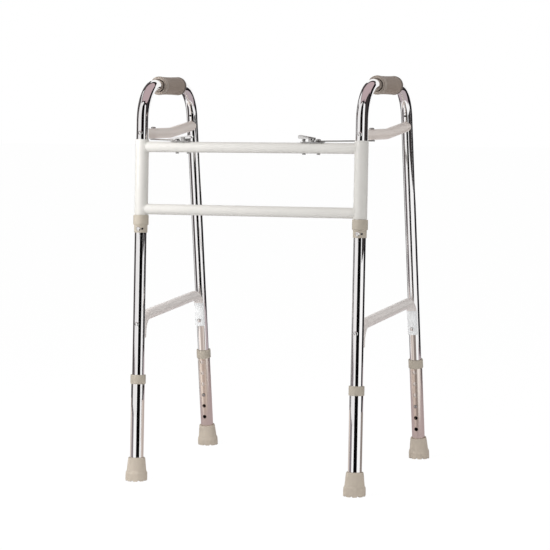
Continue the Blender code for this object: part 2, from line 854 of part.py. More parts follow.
def lock_bolt(name, side, from_leg, head_base, head_height, head_r):
    """An upright bolt through the crossbar, with its nut below it as one piece."""
    nut_top = upper_bar() - BAR_R - GAP
    profile = rounded_head(head_r, head_base, head_height)
    if head_r > LOCK_BOLT_R:
        profile.append((LOCK_BOLT_R, head_base))
    profile += [
        (LOCK_BOLT_R, nut_top),
        (LOCK_NUT_R, nut_top),
        (LOCK_NUT_R, nut_top - LOCK_NUT),
        (0, nut_top - LOCK_NUT),
    ]
    place = Matrix.Translation((bar_x(side, from_leg), bar_y(upper_bar()), 0))
    turned(name, profile, False, PARTS, FRONT, place, FINISH["steel"], SMALL_SIDES)


def lock_bracket(side):
    """A plate on the crossbar with two ears for the lever's pin."""
    name = side + "_lock_bracket"
    plate_low, plate_top, _, _, lever_axis = lock_heights()
    ear_inner = LEVER_HALF_WIDTH + EAR_CLEARANCE
    half_width = ear_inner + SHEET / 2
    pivot = PIVOT_FROM_LEG[side]
    inner = pivot + INNER_BOLT_FROM_PIVOT[side]
    ends = sorted((bar_x(side, pivot - PLATE_BEFORE_PIVOT), bar_x(side, inner + PLATE_PAST_BOLT)))
    y = bar_y(upper_bar())
    plate = box_mesh(
        name, (ends[0], y - half_width, plate_low), (ends[1], y + half_width, plate_top)
    )
    bracket = add_object(name, plate, PARTS, FRONT, None, FINISH["steel"])
    axis = bar_x(side, pivot + LEVER_AXIS_FROM_PIVOT)
    for edge in (-1, 1):
        near, far = sorted((y + edge * ear_inner, y + edge * (ear_inner + SHEET)))
        low_corner = (axis - EAR_HALF_LENGTH, near, plate_low)
        ear = box_mesh(name, low_corner, (axis + EAR_HALF_LENGTH, far, lever_axis + EAR_ABOVE_AXIS))
        cut(bracket, as_cutter(add_object(f"{name}_ear_{edge}", ear, CUTTERS, FRONT)), "UNION")
    reach = ear_inner + 2 * SHEET
    rods = [((axis, y - reach, lever_axis), (axis, y + reach, lever_axis), LEVER_PIN_R + GAP)]
    for from_leg in (pivot, inner):
        x = bar_x(side, from_leg)
        rods.append(((x, y, plate_low - SHEET), (x, y, plate_top + SHEET), LOCK_BOLT_R + GAP))
    cut(bracket, rods_cutter(name + "_holes", FRONT, rods))


def lever_pin(side):
    axis = bar_x(side, PIVOT_FROM_LEG[side] + LEVER_AXIS_FROM_PIVOT)
    y = bar_y(upper_bar())
    height = lock_heights()[4]
    reach = LEVER_HALF_WIDTH + EAR_CLEARANCE + SHEET
    ends = (axis, y - reach, height), (axis, y + reach, height)
    mesh = rods_mesh(side + "_lever_pin", [(*ends, LEVER_PIN_R)])
    add_object(side + "_lever_pin", mesh, PARTS, FRONT, None, FINISH["steel"])


def upright_shape(name, outline, half_width):
    """A shape with one side view through its whole width, from points along X and up Z."""
    bm = bmesh.new()
    face = bm.faces.new([bm.verts.new((along, -half_width, height)) for along, height in outline])
    made = bmesh.ops.extrude_face_region(bm, geom=[face])["geom"]
    verts = [item for item in made if isinstance(item, bmesh.types.BMVert)]
    bmesh.ops.translate(bm, verts=verts, vec=(0, 2 * half_width, 0))
    return finish_mesh(name, bm)


def lever_under_sheet(side, along):
    """Height over the lever's axis of the underside of its top sheet."""
    first, second = LEVER_TOP[side][:2]
    share = (along - first[0]) / (second[0] - first[0])
    return first[1] + share * (second[1] - first[1]) - LEVER_SHEET


def release_lever(side):
    """A pressed channel on the pin: a toe over the link, and a paddle for the thumb."""
    name = side + "_release_lever"
    inward = -SIDES[side]
    axis = bar_x(side, PIVOT_FROM_LEG[side] + LEVER_AXIS_FROM_PIVOT)
    place = Matrix.Translation((axis, bar_y(upper_bar()), lock_heights()[4]))
    outline = [(inward * along, height) for along, height in LEVER_TOP[side] + LEVER_UNDER[side]]
    mesh = upright_shape(name, outline, LEVER_HALF_WIDTH)
    lever = add_object(name, mesh, PARTS, FRONT, place, FINISH["steel"])
    start = LEVER_TOP[side][0][0] - 2 * LEVER_SHEET
    shoulder = LEVER_TOP[side][1][0] - LEVER_SHEET
    nose = LEVER_TOP[side][2][0] - LEVER_SHEET
    inside = [
        (inward * start, -CUT_PAST),
        (inward * start, lever_under_sheet(side, start)),
        (inward * shoulder, lever_under_sheet(side, shoulder)),
        (inward * nose, LEVER_TOP[side][2][1] - LEVER_SHEET),
        (inward * nose, -CUT_PAST),
    ]
    mesh = upright_shape(name + "_inside", inside, LEVER_HALF_WIDTH - LEVER_SHEET)
    cut(lever, as_cutter(add_object(name + "_inside", mesh, CUTTERS, FRONT, place)))
    reach = LEVER_HALF_WIDTH - LEVER_SHEET / 2
    ends = (0, -reach, 0), (0, reach, 0)
    hub = add_object(name + "_hub", rods_mesh(name + "_hub", [(*ends, LEVER_HUB_R)]), CUTTERS, FRONT, place)
    cut(lever, as_cutter(hub), "UNION")
    ends = (0, -2 * LEVER_HALF_WIDTH, 0), (0, 2 * LEVER_HALF_WIDTH, 0)
    bore = rods_mesh(name + "_bore", [(*ends, LEVER_PIN_R + GAP)])
    cut(lever, as_cutter(add_object(name + "_bore", bore, CUTTERS, FRONT, place)))
    to_bolt = INNER_BOLT_FROM_PIVOT[side] - LEVER_AXIS_FROM_PIVOT
    if INNER_BOLT_ABOVE_AXIS[side] > lever_under_sheet(side, to_bolt):
        long, wide = LEVER_SLOT
        x = inward * to_bolt
        slot = box_mesh(name + "_slot", (x - long, -wide, LEVER_HUB_R), (x + long, wide, 4 * LEVER_HUB_R))
        cut(lever, as_cutter(add_object(name + "_slot", slot, CUTTERS, FRONT, place)))


def lever_spring(side):
    """A small coil round the inner bolt, between the plate and the lever."""
    name = side + "_lever_spring"
    inner = INNER_BOLT_FROM_PIVOT[side]
    first, second = LEVER_TOP[side][:2]
    under = lock_heights()[4] + lever_under_sheet(side, inner - LEVER_AXIS_FROM_PIVOT)
    slope = (second[1] - first[1]) / (second[0] - first[0])
    bottom = lock_heights()[1] + GAP + LEVER_SPRING_WIRE
    top = under - slope * LEVER_SPRING_R - 2 * GAP - LEVER_SPRING_WIRE
    x = bar_x(side, PIVOT_FROM_LEG[side] + inner)
    y = bar_y(upper_bar())
    points = []
    for step in range(LEVER_SPRING_TURNS * LEVER_SPRING_STEPS + 1):
        angle = 2 * math.pi * step / LEVER_SPRING_STEPS
        height = bottom + (top - bottom) * step / (LEVER_SPRING_TURNS * LEVER_SPRING_STEPS)
        points.append((x + LEVER_SPRING_R * math.cos(angle), y + LEVER_SPRING_R * math.sin(angle), height))
    mesh = path_mesh(name, points, LEVER_SPRING_WIRE, 8, True)
    add_object(name, mesh, PARTS, FRONT, None, FINISH["steel"])


def link_line(side):
    """The link's pivot on the crossbar, and the place of the brace bolt when the frame is open."""
    pivot = Vector((bar_x(side, PIVOT_FROM_LEG[side]), bar_y(upper_bar()), 0))
    bolt = side_matrix(side) @ side_point(brace_bolt_depth(), upper_brace_height())
    return pivot, Vector((bolt.x, bolt.y, 0)) - pivot


def flat_link(side):
    """The slotted strip from the lock to the brace bolt, turning on the lock's outer bolt."""
    link_low = lock_heights()[2]
    pivot, reach = link_line(side)
    outlines = [
        slot_outline(0, reach.length, LINK_HALF_WIDTH),
        slot_outline(LINK_SLOT_START[side], reach.length, BRACE_BOLT_R + GAP),
        slot_outline(0, 0, LOCK_BOLT_R + GAP)[:-1],
    ]
    place = Matrix.Translation((pivot.x, pivot.y, link_low + LINK_THICK / 2))
    place = place @ Matrix.Rotation(math.atan2(reach.y, reach.x), 4, "Z")
    flat_shape(side + "_link", outlines, LINK_THICK / 2, PARTS, FRONT, place, FINISH["steel"])


# The whole walker


def make_side(side, floor):
    side_axes = add_empty(side + "_fold_axis", side_matrix(side))
    rear_axes = add_empty(side + "_rear_leg_axis", rear_leg_place(), side_axes)
    axes = {"front": side_axes, "rear": rear_axes}
    leg_cutters = {}
    for leg in axes:
        rod = ((0, 0, CUT_PAST), (0, 0, GRIP_HEIGHT), TUBE_R + GAP)
        leg_cutters[leg] = rods_cutter(f"{side}_{leg}_leg_space", axes[leg], [rod], TUBE_SIDES)
    side_tube(side, axes)
    hand_grip(side, axes)
    upper_brace(side, axes, leg_cutters)
    brace_bolt(side, axes)
    lower_brace(side, axes, leg_cutters)
    rivets(side, axes)
    sleeve_ring(side, axes)
    ring_screw(side, axes)
    for leg in axes:
        leg_extension(leg, side, axes[leg])
        leg_collar(leg, side, axes[leg])
        leg_foot(leg, side, axes[leg], floor)
        button_back = snap_button(leg, side, axes[leg])
        button_spring(leg, side, axes[leg], button_back)


def make_front():
    sleeve_cutters = []
    bolt_rods = []
    y = bar_y(upper_bar())
    for side in SIDES:
        axes = add_empty(side + "_sleeve_axis", leg_base(side), FRONT)
        front_sleeve(side, axes)
        bottom, top = sleeve_ends()
        rod = ((0, 0, bottom - CUT_PAST), (0, 0, top + CUT_PAST), SLEEVE_R + GAP)
        sleeve_cutters.append(rods_cutter(side + "_sleeve_space", axes, [rod], TUBE_SIDES))
        pivot = PIVOT_FROM_LEG[side]
        inner = pivot + INNER_BOLT_FROM_PIVOT[side]
        for from_leg in (pivot, inner):
            x = bar_x(side, from_leg)
            ends = (x, y, upper_bar() - CUT_PAST), (x, y, upper_bar() + CUT_PAST)
            bolt_rods.append((*ends, LOCK_BOLT_R + GAP))
        lock_bracket(side)
        lever_pin(side)
        release_lever(side)
        lever_spring(side)
        flat_link(side)
        _, _, _, link_top, lever_axis = lock_heights()
        lock_bolt(side + "_lock_bolt_outer", side, pivot, link_top + GAP, LOCK_BOLT_HEAD, LOCK_BOLT_HEAD_R)
        base = lever_axis + INNER_BOLT_ABOVE_AXIS[side] - LOCK_BOLT_R
        lock_bolt(side + "_lock_bolt_inner", side, inner, base, LOCK_BOLT_R, LOCK_BOLT_R)
    crossbar("lower_crossbar", lower_bar(), sleeve_cutters)
    bolts = rods_cutter("crossbar_bolt_holes", FRONT, bolt_rods)
    crossbar("upper_crossbar", upper_bar(), sleeve_cutters + [bolts])


clear_scene()
PARTS = new_collection("walker")
CUTTERS = new_collection("walker_cutters")
FINISH = {
    "chrome": material("polished tube", (0.80, 0.80, 0.81), 0.12, 1.0),
    "white": material("white paint", (0.82, 0.82, 0.80), 0.35),
    "beige": material("beige plastic", (0.62, 0.56, 0.47), 0.45),
    "rubber": material("beige rubber", (0.58, 0.52, 0.44), 0.7),
    "grip": material("taupe grip", (0.25, 0.21, 0.17), 0.6),
    "steel": material("plated steel", (0.45, 0.45, 0.45), 0.35, 1.0),
}
FRONT = add_empty("front_frame_axis", Matrix.Identity(4))
FLOOR = as_cutter(add_object("floor_space", box_mesh("floor_space", (-1, -1, -CUT_PAST), (1, 1, 0)), CUTTERS))
for each_side in SIDES:
    make_side(each_side, FLOOR)
make_front()
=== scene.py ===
"""The folding walking frame as it looks.

Bright bent tubes, a white cross frame, beige rings and feet, and taupe grips.
"""

import math

import bmesh
import bpy
from mathutils import Matrix, Vector


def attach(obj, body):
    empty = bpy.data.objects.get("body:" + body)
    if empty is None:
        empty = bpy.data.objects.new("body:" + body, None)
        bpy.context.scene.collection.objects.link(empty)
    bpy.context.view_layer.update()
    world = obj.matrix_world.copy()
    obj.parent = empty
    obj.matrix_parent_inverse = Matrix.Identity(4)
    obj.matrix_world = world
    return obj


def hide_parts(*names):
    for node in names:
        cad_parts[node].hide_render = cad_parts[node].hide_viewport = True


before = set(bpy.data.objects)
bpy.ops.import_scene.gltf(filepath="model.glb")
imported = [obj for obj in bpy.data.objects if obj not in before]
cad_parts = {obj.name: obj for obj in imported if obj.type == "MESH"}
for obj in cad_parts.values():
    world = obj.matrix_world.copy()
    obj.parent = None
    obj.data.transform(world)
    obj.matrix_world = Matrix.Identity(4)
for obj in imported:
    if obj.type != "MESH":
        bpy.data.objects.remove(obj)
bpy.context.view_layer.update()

# Sizes, in metres, the same as the solids'
GAP = 0.0003
TUBE_R = 0.0125
TUBE_WALL = 0.0012
BEND_R = 0.076
FRONT_LEG_X = 0.239
FRONT_LEG_Y = -0.220
LEG_SPACING = 0.440
LEAN = math.radians(3.4)
SPLAY = math.radians(7.5)
TOE_OUT = math.radians(1.8)
GRIP_HEIGHT = 0.823
TUBE_END_BELOW_BUTTON = 0.017
VENT_HEIGHT = 0.760
VENT_R = 0.0022
HOLE_REACH = 0.02
GRIP_START = 0.134
GRIP_LENGTH = 0.120
GRIP_R = 0.019
GRIP_RIM_R = 0.0198
GRIP_RECESS_R = 0.0138
GRIP_RECESS = 0.003
BRACE_R = 0.011
BRACE_HEIGHT = 0.7222
BRACE_BEND = 0.202
BRACE_REAR_HEIGHT = 0.7365
BRACE_BEND_R = 0.090
BRACE_PLUG = 0.022
BRACE_BOLT_DEPTH = 0.062
BRACE_BOLT_R = 0.003
BRACE_BOLT_SHORT = 0.0002
LOWER_BRACE_HEIGHT = {"front": 0.341, "rear": 0.3568}
LOWER_BRACE_DROP = {"front": 0.044, "rear": 0.0743}
LOWER_BRACE_BEND_R = 0.036
LOWER_BRACE_FLAT = 0.006
LOWER_BRACE_FROM_LEG = 0.0135
LOWER_BRACE_RIM = 0.0012
# Where the lower struts' flat rear ends take the brighter paint, a painted highlight
FLAT_END_HEIGHT = 0.33
FLAT_END_BEFORE_LEG = 0.035
FLAT_END_BELOW_CORNER = 0.022
RIVET_R = 0.0024
RIVET_DOME = [(0, 0.0018), (0.0022, 0.0016), (0.0038, 0.0009), (0.0045, 0)]
UPPER_RIVET_RISE = {"front": 0.0016, "rear": 0.0}
LOWER_RIVET_DROP = {"front": 0.0148, "rear": 0.0602}
SLEEVE_R = 0.014
SLEEVE_ENDS = (0.5535, 0.7109)
BAR_R = 0.011
BAR_WALL = 0.0016
BEAD_R = 0.0013
UPPER_BAR = 0.6955
LOWER_BAR = 0.5661
RING_R = 0.016
RING_NECK_R = 0.0139
RING_HOLE_R = 0.0024
RING_HOLE_TURN = math.radians(35)
RING_SCREW_HOLE_R = 0.0022
RING_TOP = 0.5535
RING_STEP = 0.533
RING_SCREW = 0.525
RING_LOW = 0.517
EXTENSION_R = 0.014
EXTENSION_WALL = 0.0012
COLLAR_MIDDLE = {"front": 0.2112, "rear": 0.2169}
COLLAR_LENGTH = 0.019
COLLAR_R = 0.016
COLLAR_LIP = 0.004
FIRST_HOLE = 0.0174
HOLE_PITCH = 0.026
BUTTON_HOLE = 4
HOLE_COUNT = 6
HOLE_R = 0.0043
BUTTON_R = 0.004
BUTTON_STANDS_OUT = 0.0025
BUTTON_FLANGE_R = 0.005
BUTTON_FLANGE = 0.0013
FOOT_TOP = 0.0475
FOOT_FLOOR = 0.010
FOOT_BELOW = 0.004
FOOT_BAND_TOP = 0.018
FOOT_RIBS = 12
FOOT_RIB = 0.008
FOOT_BAND_RIB = 0.022
SOLE_GROOVES = 10
SOLE_GROOVE_R = 0.003
PIVOT_FROM_LEG = {"left": 0.079, "right": 0.091}
INNER_BOLT = {"left": 0.025, "right": 0.031}
INNER_BOLT_TOP = {"left": 0.7258, "right": 0.7148}
BOLT_R = 0.0025
BOLT_HOLE_R = 0.0028
OUTER_BOLT_TOP = 0.7111
OUTER_BOLT_HEAD = 0.003
OUTER_BOLT_HEAD_R = 0.005
NUT = 0.0022
NUT_R = 0.0042
NUT_TURN = 0.3
PLATE_HALF_WIDTH = 0.00775
PLATE_BEFORE_PIVOT = 0.012
PLATE_PAST_BOLT = 0.006
EAR_INNER = 0.0070
EAR_OUTER = 0.0085
EAR_HALF_LENGTH = 0.004
EAR_ABOVE_AXIS = 0.0027
LEVER_AXIS = 0.015
LEVER_AXIS_HEIGHT = 0.7138
LINK_Z = 0.7097
LINK_THICK = 0.0022
LINK_HALF_WIDTH = 0.0065
LINK_SLOT_HALF_WIDTH = 0.0033
LINK_SLOT_START = {"left": 0.018, "right": 0.055}
SHEET = 0.0015
LEVER_TOE = -0.0027
LEVER_TOP = {
    "left": ((-0.034, -0.0008), (0.0145, 0.0064), (0.018, 0.005)),
    "right": ((-0.0072, 0.0034), (0.0235, 0.0084), (0.0265, 0.007)),
}
LEVER_UNDER = {
    "left": (
        (0.018, 0.0012),
        (0.016, 0.0),
        (0.004, -0.001),
        (-0.004, -0.001),
        (-0.012, -0.001),
        (-0.034, LEVER_TOE),
    ),
    "right": ((0.0265, 0.0018), (0.0245, 0.0004), (0.004, 0.0), (-0.004, LEVER_TOE), (-0.0072, LEVER_TOE)),
}
LEVER_SHEET = 0.001
LEVER_HALF_WIDTH = 0.0065
LEVER_PIN_R = 0.0015
LEVER_BORE_R = 0.0018
LEVER_HUB_R = 0.0026
LEVER_SLOT = (0.0045, 0.0032)
SIDES = {"left": -1, "right": 1}
FINE = 1e-6
NEAR = 1e-5

# Camera, cards and light
CARD_AWAY = 6.0
CAMERA_PLACE = (1.3546, -3.8041, 0.7849)
CAMERA_LOOK = (-0.33432, 0.93883, -0.08265)
FLOOR_GLOW = 1.045
FLOOR_GLOW_SHARE = 0.92
WORLD_LIGHT = 0.42


# Places in the side frames


def side_point(depth, height, out=0.0):
    back = depth * math.cos(LEAN) - height * math.sin(LEAN)
    up = depth * math.sin(LEAN) + height * math.cos(LEAN)
    return Vector((out, back, up))


def front_depth(height):
    return height * math.tan(LEAN)


def rear_depth(height):
    return LEG_SPACING - height * math.tan(SPLAY)


def leg_base(side):
    return Matrix.Translation((SIDES[side] * FRONT_LEG_X, FRONT_LEG_Y, 0)) @ Matrix.Rotation(-LEAN, 4, "X")


def side_place(side):
    return leg_base(side) @ Matrix.Rotation(-SIDES[side] * TOE_OUT, 4, "Z")


def leg_place(leg, side):
    if leg == "front":
        return side_place(side)
    rear = Matrix.Translation(side_point(LEG_SPACING, 0)) @ Matrix.Rotation(SPLAY + LEAN, 4, "X")
    return side_place(side) @ rear


def up_leg(leg, height):
    return height / math.cos(LEAN if leg == "front" else SPLAY)


def button_height(leg):
    return COLLAR_MIDDLE[leg] - FIRST_HOLE - (BUTTON_HOLE - 1) * HOLE_PITCH


def out_of_leg(turn):
    """The way out of a front leg, turned by an angle from straight ahead."""
    return Vector((math.sin(turn), -math.cos(turn), 0)) * HOLE_REACH


def facing(point, direction):
    turn = Vector(direction).to_track_quat("Z", "Y").to_matrix().to_4x4()
    return Matrix.Translation(point) @ turn


def bar_y(height):
    return FRONT_LEG_Y + height * math.tan(LEAN)


def bar_x(side, from_leg):
    return SIDES[side] * (FRONT_LEG_X - from_leg)


# Shaping


def bent_line(points, radius, steps):
    """A line whose corners are arcs, as a tube bender leaves them."""
    path = [Vector(points[0])]
    for before, corner, after in zip(points, points[1:], points[2:]):
        corner = Vector(corner)
        back = (Vector(before) - corner).normalized()
        on = (Vector(after) - corner).normalized()
        half = back.angle(on) / 2
        centre = corner + (back + on).normalized() * radius / math.sin(half)
        spoke = corner + back * radius / math.tan(half) - centre
        turn = math.copysign(math.pi - 2 * half, on.cross(back))
        for step in range(steps + 1):
            path.append(centre + Matrix.Rotation(turn * step / steps, 2) @ spoke)
    path.append(Vector(points[-1]))
    return path


def eased(outline, radius, closed=True, steps=3):
    """An outline with its corners rounded by up to a radius."""
    line = []
    for i, corner in enumerate(outline):
        corner = Vector(corner)
        if not closed and i in (0, len(outline) - 1):
            line.append(corner)
            continue
        back = Vector(outline[i - 1]) - corner
        on = Vector(outline[(i + 1) % len(outline)]) - corner
        start = corner + back.normalized() * min(radius, back.length * 0.45)
        end = corner + on.normalized() * min(radius, on.length * 0.45)
        for step in range(steps + 1):
            share = step / steps
            line.append(start.lerp(corner, share).lerp(corner.lerp(end, share), share))
    return line


def turned(profile, place, closed=True, steps=64):
    """A turned shape: the profile's points are radius and height."""
    bm = bmesh.new()
    line = [bm.verts.new((radius, 0, height)) for radius, height in profile]
    follow = line[1:] + line[:1] if closed else line[1:]
    edges = [bm.edges.new(pair) for pair in zip(line, follow)]
    bmesh.ops.spin(
        bm,
        geom=line + edges,
        cent=(0, 0, 0),
        axis=(0, 0, 1),
        angle=2 * math.pi,
        steps=steps,
        use_merge=True,
    )
    bmesh.ops.remove_doubles(bm, verts=bm.verts, dist=FINE)
    bm.transform(place)
    return bm


def rod(start, end, radius, steps=32):
    start = Vector(start)
    along = Vector(end) - start
    bm = bmesh.new()
    bmesh.ops.create_cone(
        bm,
        cap_ends=True,
        segments=steps,
        radius1=radius,
        radius2=radius,
        depth=along.length,
        matrix=facing(start + along / 2, along),
    )
    return bm


def block(low, high, ease=0.0):
    low = Vector(low)
    high = Vector(high)
    bm = bmesh.new()
    size = Matrix.Diagonal((*(high - low), 1))
    bmesh.ops.create_cube(bm, size=1, matrix=Matrix.Translation((low + high) / 2) @ size)
    if ease:
        ease_edges(bm, bm.edges[:], ease, 3)
    return bm


def ring_place(centre, along, wide, thick):
    """A matrix that sets a unit ring square to a direction, with its two half-axes."""
    return Matrix.Translation(centre) @ Matrix((wide, thick, along)).transposed().to_4x4()


def frame_rings(line, wide, thick):
    """Ring places along a line in a side frame's plane.

    The half-axis across the plane is a number, the one in it a number or a list with one for each point.
    """
    places = []
    for i, point in enumerate(line):
        before = line[max(i - 1, 0)]
        after = line[min(i + 1, len(line) - 1)]
        along = (after - before).normalized()
        across = side_point(-along.y, along.x)
        half = thick[i] if isinstance(thick, list) else thick
        axes = side_point(*along), Vector((wide, 0, 0)), across * half
        places.append(ring_place(side_point(*point), *axes))
    return places


def drawn(bm, places, sides, caps=False):
    """A ring set at the first place and drawn on from place to place. Gives its first and last edges."""
    ring = bmesh.ops.create_circle(bm, radius=1, segments=sides, matrix=places[0])["verts"]
    first = list({edge for vert in ring for edge in vert.link_edges})
    edges = first
    for before, after in zip(places, places[1:]):
        made = bmesh.ops.extrude_edge_only(bm, edges=edges)["geom"]
        ring = {item for item in made if isinstance(item, bmesh.types.BMVert)}
        edges = [item for item in made if isinstance(item, bmesh.types.BMEdge) and set(item.verts) <= ring]
        bmesh.ops.transform(bm, matrix=after @ before.inverted(), verts=list(ring))
    if caps:
        bmesh.ops.contextual_create(bm, geom=first)
        bmesh.ops.contextual_create(bm, geom=edges)
    return first, edges


def pipe(outer, inner, sides=64):
    """An open pipe from the ring places of its outside and of its bore."""
    bm = bmesh.new()
    drawn(bm, outer + inner[::-1] + outer[:1], sides)
    bmesh.ops.remove_doubles(bm, verts=bm.verts, dist=NEAR)
    return bm


def slab(outline, way):
    """The shape that a flat outline sweeps as it moves."""
    bm = bmesh.new()
    face = bm.faces.new([bm.verts.new(corner) for corner in outline])
    made = bmesh.ops.extrude_face_region(bm, geom=[face])["geom"]
    verts = [item for item in made if isinstance(item, bmesh.types.BMVert)]
    bmesh.ops.translate(bm, verts=verts, vec=way)
    return bm


def flat_plate(outline, thick, place, ease=0.0003):
    """A flat plate with eased edges from an outline in its own plane."""
    bm = slab([(x, y, -thick / 2) for x, y in outline], (0, 0, thick))
    rims = [edge for edge in bm.edges if abs(edge.verts[0].co.z - edge.verts[1].co.z) < thick / 2]
    ease_edges(bm, rims, ease, 2)
    bm.transform(place)
    return bm


def upright_shape(outline, half_width, place, ease=0.0):
    """A shape with one outline, along and up, through its whole width."""
    bm = slab([(along, -half_width, height) for along, height in outline], (0, 2 * half_width, 0))
    if ease:
        rims = [edge for edge in bm.edges if abs(edge.verts[0].co.y - edge.verts[1].co.y) < half_width]
        ease_edges(bm, rims, ease, 3)
    bm.transform(place)
    return bm


def slot_outline(start, end, radius, steps=16):
    points = []
    for centre, first in ((end, -math.pi / 2), (start, math.pi / 2)):
        for step in range(steps + 1):
            angle = first + math.pi * step / steps
            points.append((centre + radius * math.cos(angle), radius * math.sin(angle)))
    return points


def ease_edges(bm, edges, radius, steps):
    bmesh.ops.bevel(
        bm, geom=edges, offset=radius, segments=steps, affect="EDGES", profile=0.5, material=-1
    )


def as_mesh(name, bm):
    bmesh.ops.recalc_face_normals(bm, faces=bm.faces)
    mesh = bpy.data.meshes.new(name)
    bm.to_mesh(mesh)
    bm.free()
    return mesh


def worked(name, bm, cuts, joins):
    """The shape with other shapes joined on and cut out."""
    blank = bpy.data.objects.new(name, as_mesh(name, bm))
    tools = [blank]
    for operation, shapes in (("UNION", joins), ("DIFFERENCE", cuts)):
        for shape in shapes:
            tool = bpy.data.objects.new(name + "_tool", as_mesh(name + "_tool", shape))
            tools.append(tool)
            change = blank.modifiers.new("work", "BOOLEAN")
            change.operation = operation
            change.solver = "EXACT"
            change.object = tool
    for tool in tools:
        bpy.context.scene.collection.objects.link(tool)
    bpy.context.view_layer.update()
    mesh = bpy.data.meshes.new_from_object(blank.evaluated_get(bpy.context.evaluated_depsgraph_get()))
    for tool in tools:
        bpy.data.objects.remove(tool)
    return mesh


def piece(name, bm, body, nodes, finish, cuts=(), joins=(), sharp=32):
    """A finished piece that rides on a body and stands for its solids."""
    mesh = worked(name, bm, cuts, joins) if cuts or joins else as_mesh(name, bm)
    mesh.name = name
    mesh.shade_smooth()
    mesh.set_sharp_from_angle(angle=math.radians(sharp))
    mesh.materials.clear()
    mesh.materials.append(finish)
    made = bpy.data.objects.new(name, mesh)
    bpy.context.scene.collection.objects.link(made)
    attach(made, body)
    if nodes:
        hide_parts(*nodes)
    return made


# Finishes


def finish(name, colour, roughness, rough_by, mottle, grain, bump, metallic=0.0, stretch=(1, 1, 1)):
    """A finish whose colour, gloss and surface vary a little, as the real one does.

    The gloss varies by rough_by, the colour by mottle. A higher grain is finer.
    """
    made = bpy.data.materials.new(name)
    made.use_nodes = True
    nodes = made.node_tree.nodes
    links = made.node_tree.links
    shader = nodes["Principled BSDF"]
    shader.inputs["Metallic"].default_value = metallic
    place = nodes.new("ShaderNodeTexCoord")
    stretched = nodes.new("ShaderNodeMapping")
    stretched.inputs["Scale"].default_value = stretch
    links.new(place.outputs["Object"], stretched.inputs["Vector"])
    broad = nodes.new("ShaderNodeTexNoise")
    broad.inputs["Scale"].default_value = grain / 6
    broad.inputs["Detail"].default_value = 4
    links.new(stretched.outputs["Vector"], broad.inputs["Vector"])
    tone = nodes.new("ShaderNodeValToRGB")
    tone.color_ramp.elements[0].position = 0.3
    tone.color_ramp.elements[1].position = 0.7
    tone.color_ramp.elements[0].color = (*[c * (1 - mottle) for c in colour], 1)
    tone.color_ramp.elements[1].color = (*[min(1.0, c * (1 + mottle)) for c in colour], 1)
    links.new(broad.outputs["Fac"], tone.inputs["Fac"])
    links.new(tone.outputs["Color"], shader.inputs["Base Color"])
    fine = nodes.new("ShaderNodeTexNoise")
    fine.inputs["Scale"].default_value = grain
    fine.inputs["Detail"].default_value = 6
    links.new(stretched.outputs["Vector"], fine.inputs["Vector"])
    gloss = nodes.new("ShaderNodeMapRange")
    gloss.inputs["To Min"].default_value = max(0.02, roughness - rough_by)
    gloss.inputs["To Max"].default_value = roughness + rough_by
    links.new(fine.outputs["Fac"], gloss.inputs["Value"])
    links.new(gloss.outputs["Result"], shader.inputs["Roughness"])
    dents = nodes.new("ShaderNodeBump")
    dents.inputs["Strength"].default_value = bump
    dents.inputs["Distance"].default_value = 0.001
    links.new(fine.outputs["Fac"], dents.inputs["Height"])
    links.new(dents.outputs["Normal"], shader.inputs["Normal"])
    return made


CHROME = finish("bright tube", (0.93, 0.92, 0.92), 0.06, 0.03, 0.02, 60, 0.003, 1.0, (1, 1, 0.08))
SATIN = finish("drawn tube", (0.88, 0.80, 0.735), 0.3, 0.06, 0.05, 90, 0.01, 1.0, (1, 1, 0.06))
WHITE = finish("white paint", (0.75, 0.73, 0.692), 0.32, 0.05, 0.008, 120, 0.008)
# White paint with a warm grey-pink tint for the upper struts: painted shade on the same white paint as the
# cross frame
SHADED = finish("white paint with painted shade", (0.88, 0.785, 0.725), 0.38, 0.05, 0.02, 120, 0.008)
# Brighter white for the lower struts' flat rear ends: a painted highlight where they face the front light
FLAT_END_HIGHLIGHT_WHITE = finish("white paint with painted highlight", (0.97, 0.98, 0.99), 0.3, 0.05, 0.015, 120, 0.008)
# White paint with a warm tint for the lower struts: painted warm bounce light on the same white paint
WHITE_WITH_PAINTED_BOUNCE = finish("white paint with painted warm bounce", (0.86, 0.80, 0.765), 0.36, 0.05, 0.02, 120, 0.008)
BEIGE = finish("beige plastic", (0.52, 0.463, 0.383), 0.5, 0.08, 0.05, 300, 0.12)
RUBBER = finish("beige rubber", (0.605, 0.527, 0.437), 0.72, 0.08, 0.05, 260, 0.15)
PALE_TAUPE = finish("pale taupe rim", (0.40, 0.34, 0.29), 0.5, 0.08, 0.05, 420, 0.2)
DARK_TAUPE = finish("dark taupe rim", (0.16, 0.13, 0.11), 0.55, 0.08, 0.05, 420, 0.2)
TAUPE = finish("taupe grip", (0.355, 0.285, 0.235), 0.62, 0.08, 0.06, 420, 0.35)
STEEL = finish("plated steel", (0.50, 0.49, 0.48), 0.28, 0.1, 0.05, 200, 0.03, 1.0)
# Bright plated steel for rivets and screws, also a painted highlight on the left lever and link
BRIGHT_STEEL_AND_HIGHLIGHT = finish("bright plated steel and painted highlight", (0.90, 0.89, 0.88), 0.2, 0.08, 0.04, 200, 0.02, 1.0)
LEVER_STEEL = finish("lever steel", (0.72, 0.71, 0.70), 0.24, 0.08, 0.04, 200, 0.02, 1.0)
# Dark steel for the right link: painted shade on the same steel as the left link
SHADED_LINK_STEEL = finish("plated steel with painted shade", (0.17, 0.16, 0.15), 0.3, 0.1, 0.05, 200, 0.03, 1.0)
SPRING = finish("spring wire", (0.42, 0.41, 0.40), 0.3, 0.06, 0.03, 300, 0.02, 1.0)


# Side frames


